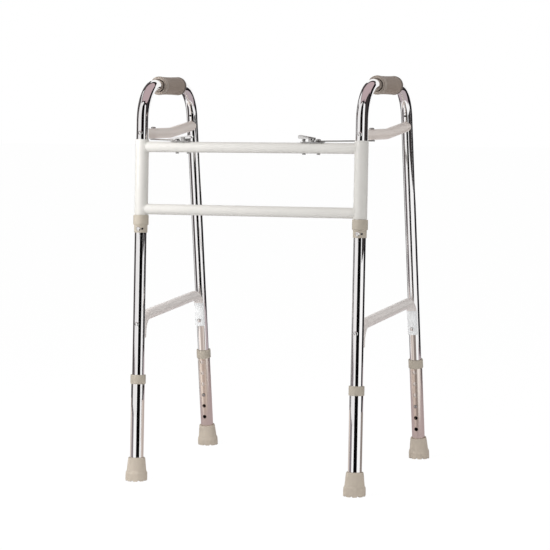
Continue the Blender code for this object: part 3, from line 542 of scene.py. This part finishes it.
def side_tube(side):
    place = side_place(side)
    low = {}
    for leg, tilt in (("front", LEAN), ("rear", SPLAY)):
        low[leg] = (button_height(leg) - TUBE_END_BELOW_BUTTON) * math.cos(tilt)
    corners = [
        (front_depth(low["front"]), low["front"]),
        (front_depth(GRIP_HEIGHT), GRIP_HEIGHT),
        (rear_depth(GRIP_HEIGHT), GRIP_HEIGHT),
        (rear_depth(low["rear"]), low["rear"]),
    ]
    line = bent_line(corners, BEND_R, 28)
    bore = TUBE_R - TUBE_WALL
    bm = pipe(frame_rings(line, TUBE_R, TUBE_R), frame_rings(line, bore, bore), 72)
    bm.transform(place)
    rear = leg_place("rear", side)
    vent = Vector((0, 0, up_leg("rear", VENT_HEIGHT)))
    screw = Vector((0, 0, up_leg("front", RING_SCREW)))
    cuts = [
        rod(rear @ vent, rear @ (vent + Vector((0, -HOLE_REACH, 0))), VENT_R, 24),
        rod(place @ screw, place @ (screw + out_of_leg(RING_HOLE_TURN)), RING_HOLE_R, 24),
    ]
    nodes = [side + "_side_tube"]
    piece(side + "_bent_tube", bm, side + "_side_frame", nodes, CHROME, cuts)


def hand_grip(side):
    """A moulded sleeve with a raised rim at each end and a recess round the tube."""
    place = side_place(side) @ facing(side_point(GRIP_START, GRIP_HEIGHT), side_point(1, 0))
    end = GRIP_LENGTH
    bore = TUBE_R + GAP
    body = [
        (bore, 0.0125),
        (0.0182, 0.0125),
        (GRIP_R - 0.0002, 0.0132),
        (GRIP_R, 0.0200),
        (GRIP_R - 0.0004, 0.0450),
        (GRIP_R - 0.0003, 0.0700),
        (GRIP_R + 0.0003, end - 0.0160),
        (GRIP_R + 0.0005, end - 0.0112),
        (0.0184, end - 0.0104),
        (bore, end - 0.0104),
    ]
    front = [
        (bore, 0.0120),
        (0.0188, 0.0120),
        (GRIP_RIM_R - 0.0003, 0.0112),
        (GRIP_RIM_R, 0.0060),
        (GRIP_RIM_R - 0.0004, 0.0016),
        (GRIP_RIM_R - 0.0016, 0.0),
        (0.0178, 0.0),
        (0.0176, 0.0007),
        (0.0170, 0.0007),
        (0.0168, 0.0),
        (GRIP_RECESS_R, 0.0),
        (GRIP_RECESS_R - 0.0004, GRIP_RECESS),
        (bore, GRIP_RECESS),
    ]
    rear = [
        (bore, end - 0.0100),
        (0.0188, end - 0.0100),
        (GRIP_RIM_R - 0.0002, end - 0.0092),
        (GRIP_RIM_R, end - 0.0050),
        (GRIP_RIM_R - 0.0004, end - 0.0014),
        (GRIP_RIM_R - 0.0016, end),
        (GRIP_RECESS_R, end),
        (GRIP_RECESS_R - 0.0004, end - GRIP_RECESS),
        (bore, end - GRIP_RECESS),
    ]
    nodes = [side + "_hand_grip"]
    for name, profile, shade in (
        ("grip", body, TAUPE),
        ("grip_front_rim", front, PALE_TAUPE),
        ("grip_rear_rim", rear, DARK_TAUPE),
    ):
        bm = turned(eased(profile, 0.0005), place, True, 96)
        piece(f"{side}_{name}", bm, side + "_side_frame", nodes, shade, sharp=50)
        nodes = []


def leg_rod(leg, side, radius):
    """The space that a leg's tube takes."""
    place = leg_place(leg, side)
    return rod(place @ Vector((0, 0, 0.1)), place @ Vector((0, 0, GRIP_HEIGHT)), radius, 72)


def upper_brace(side):
    front = Vector((front_depth(BRACE_HEIGHT), BRACE_HEIGHT))
    bend = Vector((BRACE_BEND, BRACE_HEIGHT))
    rear = Vector((rear_depth(BRACE_REAR_HEIGHT), BRACE_REAR_HEIGHT))
    line = bent_line([front, bend, rear], BRACE_BEND_R, 14)
    bm = bmesh.new()
    drawn(bm, frame_rings(line, BRACE_R, BRACE_R), 64, True)
    bm.transform(side_place(side))
    cuts = [leg_rod(leg, side, TUBE_R + GAP) for leg in ("front", "rear")]
    nodes = [side + "_upper_brace"]
    # The upper struts take the tinted white, a painted shade
    piece(side + "_upper_strut", bm, side + "_side_frame", nodes, SHADED, cuts)


def brace_bolt(side):
    depth = front_depth(BRACE_HEIGHT) + BRACE_BOLT_DEPTH
    bottom = BRACE_HEIGHT - BRACE_R + BRACE_BOLT_SHORT
    top = 2 * BRACE_R + GAP - BRACE_BOLT_SHORT
    place = side_place(side) @ facing(side_point(depth, bottom), side_point(0, 1))
    profile = [(0, top + 0.003), (0.0034, top + 0.0027), (0.0051, top + 0.0016), (0.0055, top)]
    profile += [(BRACE_BOLT_R, top), (BRACE_BOLT_R, 0.0), (0, 0.0)]
    bm = turned(eased(profile, 0.0004, False), place, False, 40)
    piece(side + "_strut_bolt", bm, side + "_side_frame", [side + "_brace_bolt"], STEEL)


def lower_brace(side):
    """A bent tube pressed flat towards both ends, where it wraps the legs. Its flat rear end is painted
    brighter, a painted highlight where it faces the front light, and the rest has a warm tint of painted
    bounce light.
    """
    up_front = Vector((math.sin(LEAN), math.cos(LEAN)))
    up_rear = Vector((-math.sin(SPLAY), math.cos(SPLAY)))
    beside_front = Vector((math.cos(LEAN), -math.sin(LEAN))) * LOWER_BRACE_FROM_LEG
    beside_rear = Vector((-math.cos(SPLAY), -math.sin(SPLAY))) * LOWER_BRACE_FROM_LEG
    first = Vector((front_depth(LOWER_BRACE_HEIGHT["front"]), LOWER_BRACE_HEIGHT["front"])) + beside_front
    second = Vector((rear_depth(LOWER_BRACE_HEIGHT["rear"]), LOWER_BRACE_HEIGHT["rear"])) + beside_rear
    corners = [
        first - up_front * LOWER_BRACE_DROP["front"],
        first,
        second,
        second - up_rear * LOWER_BRACE_DROP["rear"],
    ]
    bends = 14
    line = bent_line(corners, LOWER_BRACE_BEND_R, bends)
    thick = []
    for i in range(len(line)):
        steps_in = min(i, len(line) - 1 - i)
        share = min(1.0, max(0.0, (steps_in - 1) / (bends - 1)))
        thick.append(LOWER_BRACE_FLAT + (BRACE_R - LOWER_BRACE_FLAT) * share)
    bm = bmesh.new()
    drawn(bm, frame_rings(line, BRACE_R, thick), 64, True)
    rims = [edge for edge in bm.edges if any(len(face.verts) > 8 for face in edge.link_faces)]
    ease_edges(bm, rims, LOWER_BRACE_RIM, 3)
    bm.transform(side_place(side))
    cuts = [leg_rod(leg, side, TUBE_R + GAP) for leg in ("front", "rear")]
    nodes = [side + "_lower_brace"]
    # The lower strut's warm tint is painted bounce light
    made = piece(side + "_lower_strut", bm, side + "_side_frame", nodes, WHITE_WITH_PAINTED_BOUNCE, cuts)
    # The flat rear end takes the brighter paint as a painted highlight
    made.data.materials.append(FLAT_END_HIGHLIGHT_WHITE)
    leg = side_place(side) @ side_point(rear_depth(FLAT_END_HEIGHT), FLAT_END_HEIGHT)
    top = LOWER_BRACE_HEIGHT["rear"] - FLAT_END_BELOW_CORNER
    for face in made.data.polygons:
        if face.center.y > leg.y - FLAT_END_BEFORE_LEG and face.center.z < top:
            face.material_index = 1


def rivet(side, leg, level, height, reach):
    back = 1 if leg == "front" else -1
    head = TUBE_R + GAP
    length = head + reach
    profile = [(radius, length + rise) for radius, rise in RIVET_DOME]
    profile += [(RIVET_R, length), (RIVET_R, 0)]
    profile += [(radius, -rise) for radius, rise in reversed(RIVET_DOME)]
    place = leg_place(leg, side) @ facing((0, -back * head, height), (0, back, 0))
    name = f"{side}_rivet_{level}_{leg}"
    bm = turned(profile, place, False, 32)
    piece(name + "_head", bm, side + "_side_frame", [name], BRIGHT_STEEL_AND_HIGHLIGHT, sharp=45)


def rivets(side):
    for leg in ("front", "rear"):
        upper = (BRACE_HEIGHT if leg == "front" else BRACE_REAR_HEIGHT) + UPPER_RIVET_RISE[leg]
        lower = LOWER_BRACE_HEIGHT[leg] - LOWER_RIVET_DROP[leg]
        rivet(side, leg, "upper", up_leg(leg, upper), BRACE_PLUG + 2 * GAP)
        rivet(side, leg, "lower", up_leg(leg, lower), LOWER_BRACE_FROM_LEG + LOWER_BRACE_FLAT + GAP)


def sleeve_ring(side):
    """The stepped ring that carries the sleeve, with its screw."""
    top, step, screw, low = (up_leg("front", z) for z in (RING_TOP, RING_STEP, RING_SCREW, RING_LOW))
    bore = TUBE_R + GAP
    profile = [
        (bore, top),
        (RING_R, top),
        (RING_R, step),
        (RING_NECK_R, step),
        (RING_NECK_R, low),
        (bore, low),
    ]
    place = side_place(side)
    bm = turned(eased(profile, 0.0012), place, True, 80)
    cuts = []
    for turn, radius in ((0.0, RING_SCREW_HOLE_R), (RING_HOLE_TURN, RING_HOLE_R)):
        way = out_of_leg(turn)
        at = Vector((0, 0, screw))
        cuts.append(rod(place @ (at + way / 2), place @ (at + way), radius, 24))
    body = side + "_side_frame"
    piece(side + "_neck_ring", bm, body, [side + "_sleeve_ring"], BEIGE, cuts)
    head = [(0, 0.0006), (0.0011, 0.0006), (0.0013, 0.0013), (0.0034, 0.0013), (0.0044, 0.0005)]
    head += [(0.0044, 0), (0.0019, 0), (0.0019, -0.0036), (0, -0.0036)]
    at = place @ facing(Vector((0, -RING_NECK_R - GAP, screw)), (0, -1, 0))
    bm = turned(head, at, False, 36)
    piece(side + "_neck_screw", bm, body, [side + "_ring_screw"], BRIGHT_STEEL_AND_HIGHLIGHT)


# Legs that adjust in height


def leg_extension(leg, side):
    back = 1 if leg == "front" else -1
    place = leg_place(leg, side)
    top = COLLAR_MIDDLE[leg] + COLLAR_LENGTH / 2 - COLLAR_LIP - GAP
    low = FOOT_FLOOR + GAP
    bore = EXTENSION_R - EXTENSION_WALL
    profile = eased([(bore, top), (EXTENSION_R, top), (EXTENSION_R, low), (bore, low)], 0.0003)
    bm = turned(profile, place, True, 80)
    cuts = []
    for hole in range(HOLE_COUNT):
        height = COLLAR_MIDDLE[leg] - FIRST_HOLE - hole * HOLE_PITCH
        start = place @ Vector((0, back * 0.006, height))
        cuts.append(rod(start, place @ Vector((0, back * 0.025, height)), HOLE_R, 32))
    shade = SATIN if leg == "rear" else CHROME
    name = f"{leg}_{side}"
    piece(name + "_leg_tube", bm, name + "_leg", [name + "_extension"], shade, cuts)


def leg_collar(leg, side):
    top = COLLAR_MIDDLE[leg] + COLLAR_LENGTH / 2
    low = top - COLLAR_LENGTH
    outside = EXTENSION_R + GAP
    profile = [
        (TUBE_R + GAP, top),
        (COLLAR_R, top),
        (COLLAR_R, low),
        (outside, low),
        (outside, top - COLLAR_LIP),
        (TUBE_R + GAP, top - COLLAR_LIP),
    ]
    name = f"{leg}_{side}"
    bm = turned(eased(profile, 0.0010), leg_place(leg, side), True, 80)
    piece(name + "_leg_collar", bm, name + "_leg", [name + "_collar"], BEIGE)


def leg_foot(leg, side):
    """A rubber foot with shallow ribs round it, cut level with the floor and grooved under its rim."""
    place = leg_place(leg, side)
    outside = EXTENSION_R + GAP
    profile = [
        (0, FOOT_FLOOR),
        (outside, FOOT_FLOOR),
        (outside, FOOT_TOP),
        (0.0172, FOOT_TOP),
        (0.0180, 0.0450),
        (0.0205, 0.0200),
        (0.0228, 0.0160),
        (0.0230, 0.0060),
        (0.0228, -FOOT_BELOW),
        (0, -FOOT_BELOW),
    ]
    bm = turned(eased(profile, 0.0018, False), Matrix(), False, 120)
    for vert in bm.verts:
        if vert.co.z < FOOT_TOP and vert.co.xy.length > outside + 0.001:
            between = 0.5 - 0.5 * math.cos(FOOT_RIBS * math.atan2(vert.co.y, vert.co.x))
            vert.co.xy *= 1 - (FOOT_BAND_RIB if vert.co.z < FOOT_BAND_TOP else FOOT_RIB) * between
    bm.transform(place)
    below = block((-0.1, -0.1, -0.1), (0.1, 0.1, 0))
    base = place @ Vector((0, 0, 0))
    below.transform(Matrix.Translation((base.x, base.y, 0)))
    cuts = [below]
    for groove in range(SOLE_GROOVES):
        angle = 2 * math.pi * (groove + 0.5) / SOLE_GROOVES
        reach = Vector((math.cos(angle), math.sin(angle), 0))
        centre = Vector((base.x, base.y, -0.0006))
        cuts.append(rod(centre + reach * 0.013, centre + reach * 0.03, SOLE_GROOVE_R, 20))
    name = f"{leg}_{side}"
    piece(name + "_rubber_foot", bm, name + "_leg", [name + "_foot"], RUBBER, cuts)


def snap_button(leg, side):
    back = 1 if leg == "front" else -1
    tip = EXTENSION_R + BUTTON_STANDS_OUT
    flange = math.sqrt((TUBE_R - TUBE_WALL) ** 2 - BUTTON_FLANGE_R**2) - GAP
    profile = [
        (0, tip),
        (0.0015, tip - 0.00015),
        (0.0028, tip - 0.0007),
        (0.0036, tip - 0.0014),
        (BUTTON_R, tip - 0.0024),
        (BUTTON_R, flange),
        (BUTTON_FLANGE_R, flange),
        (BUTTON_FLANGE_R, flange - BUTTON_FLANGE),
        (0, flange - BUTTON_FLANGE),
    ]
    place = leg_place(leg, side) @ facing((0, 0, button_height(leg)), (0, back, 0))
    name = f"{leg}_{side}"
    bm = turned(profile, place, False, 32)
    piece(name + "_snap_button", bm, name + "_button", [name + "_button"], STEEL, sharp=45)


# Front frame


def front_sleeve(side):
    low, top = (up_leg("front", height) for height in SLEEVE_ENDS)
    low += GAP
    profile = [(TUBE_R + GAP, top), (SLEEVE_R, top), (SLEEVE_R, low), (TUBE_R + GAP, low)]
    bm = turned(eased(profile, 0.0004), leg_base(side), True, 80)
    piece(side + "_front_sleeve", bm, "front_frame", [side + "_sleeve"], WHITE)


def sleeve_rod(side, radius):
    place = leg_base(side)
    return rod(place @ Vector((0, 0, 0.5)), place @ Vector((0, 0, 0.8)), radius, 80)


def crossbar(name, height, bolts):
    y = bar_y(height)
    place = facing((-FRONT_LEG_X, y, height), (1, 0, 0))
    length = 2 * FRONT_LEG_X
    bore = BAR_R - BAR_WALL
    bm = turned([(bore, length), (BAR_R, length), (BAR_R, 0), (bore, 0)], place, True, 80)
    cuts = [sleeve_rod(side, SLEEVE_R + 0.00005) for side in SIDES]
    for x in bolts:
        cuts.append(rod((x, y, height - 0.02), (x, y, height + 0.02), BOLT_HOLE_R, 24))
    piece(name + "_tube", bm, "front_frame", [name], WHITE, cuts)
    for side in SIDES:
        weld_bead(name, side, height)


def weld_bead(name, side, height):
    """The bead where a crossbar meets a sleeve, laid along the line in which the two rounds meet."""
    y = bar_y(height)
    steps = 72
    ring = []
    for step in range(steps):
        angle = 2 * math.pi * step / steps
        across = BAR_R * math.cos(angle)
        out = math.sqrt(SLEEVE_R**2 - across**2)
        ring.append(Vector((bar_x(side, out), y + across, height + BAR_R * math.sin(angle))))
    places = []
    for step, point in enumerate(ring):
        along = (ring[(step + 1) % steps] - ring[step - 1]).normalized()
        outward = (point - Vector((point.x, y, height))).normalized()
        wide = outward.cross(along).normalized()
        thick = BEAD_R * (0.9 + 0.1 * math.sin(9 * step))
        places.append(ring_place(point, along, wide * BEAD_R, wide.cross(along) * thick))
    bm = bmesh.new()
    first, last = drawn(bm, places, 12)
    bmesh.ops.bridge_loops(bm, edges=first + last)
    piece(f"{name}_{side}_bead", bm, "front_frame", [], WHITE, sharp=60)


def lock_bolt(name, side, from_leg, base, head, radius):
    """A bolt down through the crossbar, with a domed head and its nut under the bar."""
    nut_top = UPPER_BAR - BAR_R - GAP
    nut_low = nut_top - NUT
    place = Matrix.Translation((bar_x(side, from_leg), bar_y(UPPER_BAR), 0))
    dome = ((0, 1), (0.6, 0.97), (0.9, 0.7), (1, 0))
    profile = [(radius * out, base + head * up) for out, up in dome]
    if radius > BOLT_R:
        profile.append((BOLT_R, base))
    profile += [(BOLT_R, nut_top), (BOLT_R, nut_low + 0.0002), (0, nut_low + 0.0002)]
    bm = turned(profile, place, False, 36)
    nut = bmesh.new()
    middle = Matrix.Translation((0, 0, (nut_top + nut_low) / 2))
    bmesh.ops.create_cone(
        nut,
        cap_ends=True,
        segments=6,
        radius1=NUT_R,
        radius2=NUT_R,
        depth=nut_top - nut_low,
        matrix=place @ middle @ Matrix.Rotation(NUT_TURN, 4, "Z"),
    )
    ease_edges(nut, nut.edges[:], 0.0003, 2)
    piece(name + "_bolt", bm, "front_frame", [name], STEEL, joins=[nut])


def lock_bracket(side):
    """A plate on the crossbar with two ears, and the lever's pin between them."""
    pivot = PIVOT_FROM_LEG[side]
    inner = pivot + INNER_BOLT[side]
    low = UPPER_BAR + BAR_R + GAP
    y = bar_y(UPPER_BAR)
    ends = sorted((bar_x(side, pivot - PLATE_BEFORE_PIVOT), bar_x(side, inner + PLATE_PAST_BOLT)))
    corners = (ends[0], y - PLATE_HALF_WIDTH, low), (ends[1], y + PLATE_HALF_WIDTH, low + SHEET)
    bm = block(*corners, 0.0003)
    axis = bar_x(side, pivot + LEVER_AXIS)
    top = LEVER_AXIS_HEIGHT + EAR_ABOVE_AXIS
    ears = []
    for edge in (-1, 1):
        near, far = sorted((y + edge * EAR_INNER, y + edge * EAR_OUTER))
        ears.append(block((axis - EAR_HALF_LENGTH, near, low), (axis + EAR_HALF_LENGTH, far, top), 0.0005))
    ends = (axis, y - 0.01, LEVER_AXIS_HEIGHT), (axis, y + 0.01, LEVER_AXIS_HEIGHT)
    cuts = [rod(*ends, LEVER_BORE_R, 24)]
    for from_leg in (pivot, inner):
        x = bar_x(side, from_leg)
        cuts.append(rod((x, y, low - 0.01), (x, y, low + 0.01), BOLT_HOLE_R, 24))
    nodes = [side + "_lock_bracket"]
    piece(side + "_lock_plate", bm, "front_frame", nodes, STEEL, cuts, ears)
    end = [(0, 0.0089), (0.0022, 0.0089), (0.0024, 0.0084), (LEVER_PIN_R, 0.0084)]
    pin = end + [(radius, -along) for radius, along in reversed(end)]
    bm = turned(pin, facing((axis, y, LEVER_AXIS_HEIGHT), (0, 1, 0)), False, 24)
    piece(side + "_lever_axle", bm, "front_frame", [side + "_lever_pin"], STEEL)


def release_lever(side):
    """A pressed channel on its pin, with a toe over the link and a paddle for the thumb."""
    inward = -SIDES[side]
    axis = bar_x(side, PIVOT_FROM_LEG[side] + LEVER_AXIS)
    place = Matrix.Translation((axis, bar_y(UPPER_BAR), LEVER_AXIS_HEIGHT))
    outline = [(inward * along, height) for along, height in LEVER_TOP[side] + LEVER_UNDER[side]]
    shell = upright_shape(eased(outline, 0.0012), LEVER_HALF_WIDTH, place, 0.0004)
    first, second, nose = LEVER_TOP[side]
    slope = (second[1] - first[1]) / (second[0] - first[0])
    start = first[0] - 0.002
    inside = [
        (start, -0.02),
        (start, first[1] - 0.002 * slope - LEVER_SHEET),
        (second[0] - LEVER_SHEET, second[1] - slope * LEVER_SHEET - LEVER_SHEET),
        (nose[0] - LEVER_SHEET, nose[1] - LEVER_SHEET),
        (nose[0] - LEVER_SHEET, -0.02),
    ]
    hollow = upright_shape([(inward * u, v) for u, v in inside], LEVER_HALF_WIDTH - LEVER_SHEET, place)
    bm = bmesh.new()
    bm.from_mesh(worked("lever_shell", shell, [hollow], []))
    reach = Vector((0, LEVER_HALF_WIDTH - LEVER_SHEET / 2, 0))
    hub = rod(place @ -reach, place @ reach, LEVER_HUB_R, 32)
    cuts = [rod(place @ (-2 * reach), place @ (2 * reach), LEVER_BORE_R, 32)]
    if side == "left":
        x = inward * (INNER_BOLT[side] - LEVER_AXIS)
        long, wide = LEVER_SLOT
        slot = block((x - long, -wide, LEVER_HUB_R), (x + long, wide, 0.02))
        slot.transform(place)
        cuts.append(slot)
    # The left lever takes the bright steel as a painted highlight, the right lever the lever steel
    shade = BRIGHT_STEEL_AND_HIGHLIGHT if side == "left" else LEVER_STEEL
    name = side + "_release_lever"
    piece(side + "_thumb_lever", bm, name, [name], shade, cuts, [hub])


def flat_link(side):
    """The slotted strip from the lock to the strut's bolt."""
    pivot = Vector((bar_x(side, PIVOT_FROM_LEG[side]), bar_y(UPPER_BAR), 0))
    bolt = side_place(side) @ side_point(front_depth(BRACE_HEIGHT) + BRACE_BOLT_DEPTH, BRACE_HEIGHT)
    reach = Vector((bolt.x, bolt.y, 0)) - pivot
    turn = Matrix.Rotation(math.atan2(reach.y, reach.x), 4, "Z")
    place = Matrix.Translation((pivot.x, pivot.y, LINK_Z)) @ turn
    bm = flat_plate(slot_outline(0, reach.length, LINK_HALF_WIDTH), LINK_THICK, place)
    slot = slot_outline(LINK_SLOT_START[side], reach.length, LINK_SLOT_HALF_WIDTH)
    cuts = [flat_plate(slot, 0.02, place)]
    cuts.append(rod(place @ Vector((0, 0, -0.01)), place @ Vector((0, 0, 0.01)), BOLT_HOLE_R, 24))
    # The left link takes the bright steel as a painted highlight and the right link the dark steel as
    # painted shade
    shade = BRIGHT_STEEL_AND_HIGHLIGHT if side == "left" else SHADED_LINK_STEEL
    piece(side + "_flat_link", bm, side + "_link", [side + "_link"], shade, cuts)


def make_walker():
    bolts = []
    for side in SIDES:
        side_tube(side)
        hand_grip(side)
        upper_brace(side)
        brace_bolt(side)
        lower_brace(side)
        rivets(side)
        sleeve_ring(side)
        for leg in ("front", "rear"):
            leg_extension(leg, side)
            leg_collar(leg, side)
            leg_foot(leg, side)
            snap_button(leg, side)
        front_sleeve(side)
        lock_bracket(side)
        release_lever(side)
        flat_link(side)
        pivot = PIVOT_FROM_LEG[side]
        inner = pivot + INNER_BOLT[side]
        name = side + "_lock_bolt_outer"
        lock_bolt(name, side, pivot, OUTER_BOLT_TOP, OUTER_BOLT_HEAD, OUTER_BOLT_HEAD_R)
        name = side + "_lock_bolt_inner"
        lock_bolt(name, side, inner, INNER_BOLT_TOP[side] - BOLT_R, BOLT_R, BOLT_R)
        bolts += [bar_x(side, pivot), bar_x(side, inner)]
    crossbar("upper_crossbar", UPPER_BAR, bolts)
    crossbar("lower_crossbar", LOWER_BAR, [])
    for name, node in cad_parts.items():
        if name.endswith("_spring"):
            node.data.materials.clear()
            node.data.materials.append(SPRING)


# Floor, light and camera


def seen_directly(nodes, links):
    """1 where the camera looks, straight or by way of a mirror or glass, and 0 for all other light."""
    path = nodes.new("ShaderNodeLightPath")
    seen = path.outputs["Is Camera Ray"]
    for kind in ("Is Glossy Ray", "Is Transmission Ray"):
        either = nodes.new("ShaderNodeMath")
        either.operation = "MAXIMUM"
        links.new(seen, either.inputs[0])
        links.new(path.outputs[kind], either.inputs[1])
        seen = either.outputs[0]
    return seen


def pale_floor():
    bm = bmesh.new()
    bmesh.ops.create_grid(bm, x_segments=1, y_segments=1, size=30)
    floor = bpy.data.objects.new("pale_floor", as_mesh("pale_floor", bm))
    bpy.context.scene.collection.objects.link(floor)
    made = bpy.data.materials.new("pale floor")
    made.use_nodes = True
    nodes = made.node_tree.nodes
    links = made.node_tree.links
    shader = nodes["Principled BSDF"]
    shader.inputs["Base Color"].default_value = (0.9, 0.9, 0.9, 1)
    shader.inputs["Roughness"].default_value = 0.9
    shader.inputs["Specular IOR Level"].default_value = 0.0
    bright = nodes.new("ShaderNodeEmission")
    bright.inputs["Color"].default_value = (1, 1, 1, 1)
    bright.inputs["Strength"].default_value = FLOOR_GLOW
    share = nodes.new("ShaderNodeMath")
    share.operation = "MULTIPLY"
    share.inputs[1].default_value = FLOOR_GLOW_SHARE
    links.new(seen_directly(nodes, links), share.inputs[0])
    mix = nodes.new("ShaderNodeMixShader")
    links.new(share.outputs[0], mix.inputs[0])
    links.new(shader.outputs[0], mix.inputs[1])
    links.new(bright.outputs[0], mix.inputs[2])
    links.new(mix.outputs[0], nodes["Material Output"].inputs["Surface"])
    floor.data.materials.append(made)
    floor.visible_glossy = False


def pale_world():
    world = bpy.data.worlds.new("studio")
    bpy.context.scene.world = world
    world.use_nodes = True
    nodes = world.node_tree.nodes
    links = world.node_tree.links
    soft = nodes["Background"]
    soft.inputs["Color"].default_value = (1, 1, 1, 1)
    soft.inputs["Strength"].default_value = WORLD_LIGHT
    white = nodes.new("ShaderNodeBackground")
    white.inputs["Color"].default_value = (1, 1, 1, 1)
    mix = nodes.new("ShaderNodeMixShader")
    links.new(seen_directly(nodes, links), mix.inputs[0])
    links.new(soft.outputs[0], mix.inputs[1])
    links.new(white.outputs[0], mix.inputs[2])
    links.new(mix.outputs[0], nodes["World Output"].inputs["Surface"])


def soft_lamp(name, place, aim, size, power):
    lamp = bpy.data.lights.new(name, "AREA")
    lamp.shape = "RECTANGLE"
    lamp.size, lamp.size_y = size
    lamp.energy = power
    made = bpy.data.objects.new(name, lamp)
    made.matrix_world = facing(place, Vector(place) - Vector(aim))
    made.visible_glossy = False
    bpy.context.scene.collection.objects.link(made)


def hide_but_in_metal(card, shade):
    """A card that only reflections see, as a studio stands one up to draw a line down a bright tube."""
    made = bpy.data.materials.new(card.name)
    made.use_nodes = True
    nodes = made.node_tree.nodes
    glow = nodes.new("ShaderNodeEmission")
    glow.inputs["Color"].default_value = (*shade, 1)
    made.node_tree.links.new(glow.outputs[0], nodes["Material Output"].inputs["Surface"])
    card.data.materials.append(made)
    bpy.context.scene.collection.objects.link(card)
    card.visible_camera = False
    card.visible_diffuse = False
    card.visible_transmission = False
    card.visible_volume_scatter = False
    card.visible_shadow = False


def far_card(name, start, end, low, high, shade):
    """A tall card far round the walker, between two directions in degrees to the right of the front."""
    turns = [math.radians(start + (end - start) * step / 12) for step in range(13)]
    line = [(math.sin(turn) * CARD_AWAY, -math.cos(turn) * CARD_AWAY) for turn in turns]
    upright_card(name, line, low, high, shade)


def upright_card(name, line, low, high, shade):
    bm = bmesh.new()
    corners = [bm.verts.new((x, y, low)) for x, y in line]
    edges = [bm.edges.new(pair) for pair in zip(corners, corners[1:])]
    made = bmesh.ops.extrude_edge_only(bm, edges=edges)["geom"]
    verts = [item for item in made if isinstance(item, bmesh.types.BMVert)]
    bmesh.ops.translate(bm, verts=verts, vec=(0, 0, high - low))
    hide_but_in_metal(bpy.data.objects.new(name, as_mesh(name, bm)), shade)


def overhead_card(name, corners, height, shade):
    bm = bmesh.new()
    edge = [bm.verts.new((x, y, height)) for x, y in corners]
    bmesh.ops.contextual_create(bm, geom=edge)
    hide_but_in_metal(bpy.data.objects.new(name, as_mesh(name, bm)), shade)


def studio():
    pale_floor()
    pale_world()
    soft_lamp("left window", (-0.80, -0.80, 0.95), (-0.1, 0, 0.6), (0.5, 0.9), 8.5)
    soft_lamp("high fill", (-0.3, -1.6, 3.0), (0, 0, 0.4), (3.0, 3.0), 11)
    soft_lamp("right fill", (2.2, -1.3, 0.8), (0, 0, 0.5), (1.5, 1.5), 12)
    upright_card("front card", [(-0.02, -1.62), (0.684, -0.62)], -3, 0.60, (0.003, 0.003, 0.003))
    upright_card("high front card", [(-0.35, -1.80), (0.56, -0.84)], 0.60, 2.2, (0.004, 0.003, 0.003))
    upright_card("near left card", [(-0.80, -0.42), (-0.80, 0.06)], 0.1, 1.3, (0.08, 0.07, 0.07))
    upright_card("near right card", [(0.81, -0.50), (1.05, 0.25)], 0.47, 1.5, (0.04, 0.035, 0.035))
    upright_card("low pale card", [(-1.60, -0.15), (-0.45, -0.15)], -1, 0.12, (1.0, 0.92, 0.86))
    upright_card("low brown card", [(-0.45, -0.15), (-0.10, -0.15)], -1, 0.16, (0.50, 0.42, 0.38))
    upright_card("low beige card", [(-0.10, -0.15), (0.17, -0.15)], -1, 0.16, (0.70, 0.62, 0.57))
    upright_card("low dark card", [(0.17, -0.15), (0.50, -0.15)], -1, 0.16, (0.27, 0.23, 0.21))
    far_card("right card", 102, 150, -6, 9, (0.015, 0.013, 0.015))
    far_card("low right card", 150, 172, -6, 0.3, (0.015, 0.013, 0.015))
    lilac = [(-0.7, 0.05), (1.3, 0.05), (1.3, 1.6), (-0.7, 1.6)]
    overhead_card("lilac ground", lilac, 0.001, (0.46, 0.39, 0.41))
    far_card("left card", -150, -112, -6, 9, (0.08, 0.07, 0.07))
    far_card("left grey wall", -112, -5, 0.03, 9, (0.88, 0.87, 0.87))
    far_card("left grey floor", -92, -42, -6, 0.03, (0.24, 0.21, 0.22))
    mauve = [(-2.2, -2.3), (2.4, -2.1), (6.6, 0.25), (15, 13), (-0.4, 2.2), (-2.2, 1.1)]
    overhead_card("mauve ceiling", mauve, 4.0, (0.50, 0.385, 0.40))
    edge = [(-2.8, -2.6), (2.9, -2.6), (9.5, 0.1), (24, 22), (-0.6, 3.4), (-2.8, 1.5)]
    overhead_card("dark ceiling edge", edge, 4.1, (0.01, 0.006, 0.006))


def camera():
    data = bpy.data.cameras.new("camera")
    data.lens = 123.81
    data.sensor_width = 36
    data.shift_x = -0.00727
    data.shift_y = -0.0262
    made = bpy.data.objects.new("camera", data)
    look = Vector(CAMERA_LOOK).to_track_quat("-Z", "Y").to_matrix().to_4x4()
    made.matrix_world = Matrix.Translation(CAMERA_PLACE) @ look
    bpy.context.scene.collection.objects.link(made)
    bpy.context.scene.camera = made


bpy.context.scene.view_settings.view_transform = "Standard"
make_walker()
studio()
camera()
bpy.context.view_layer.update()
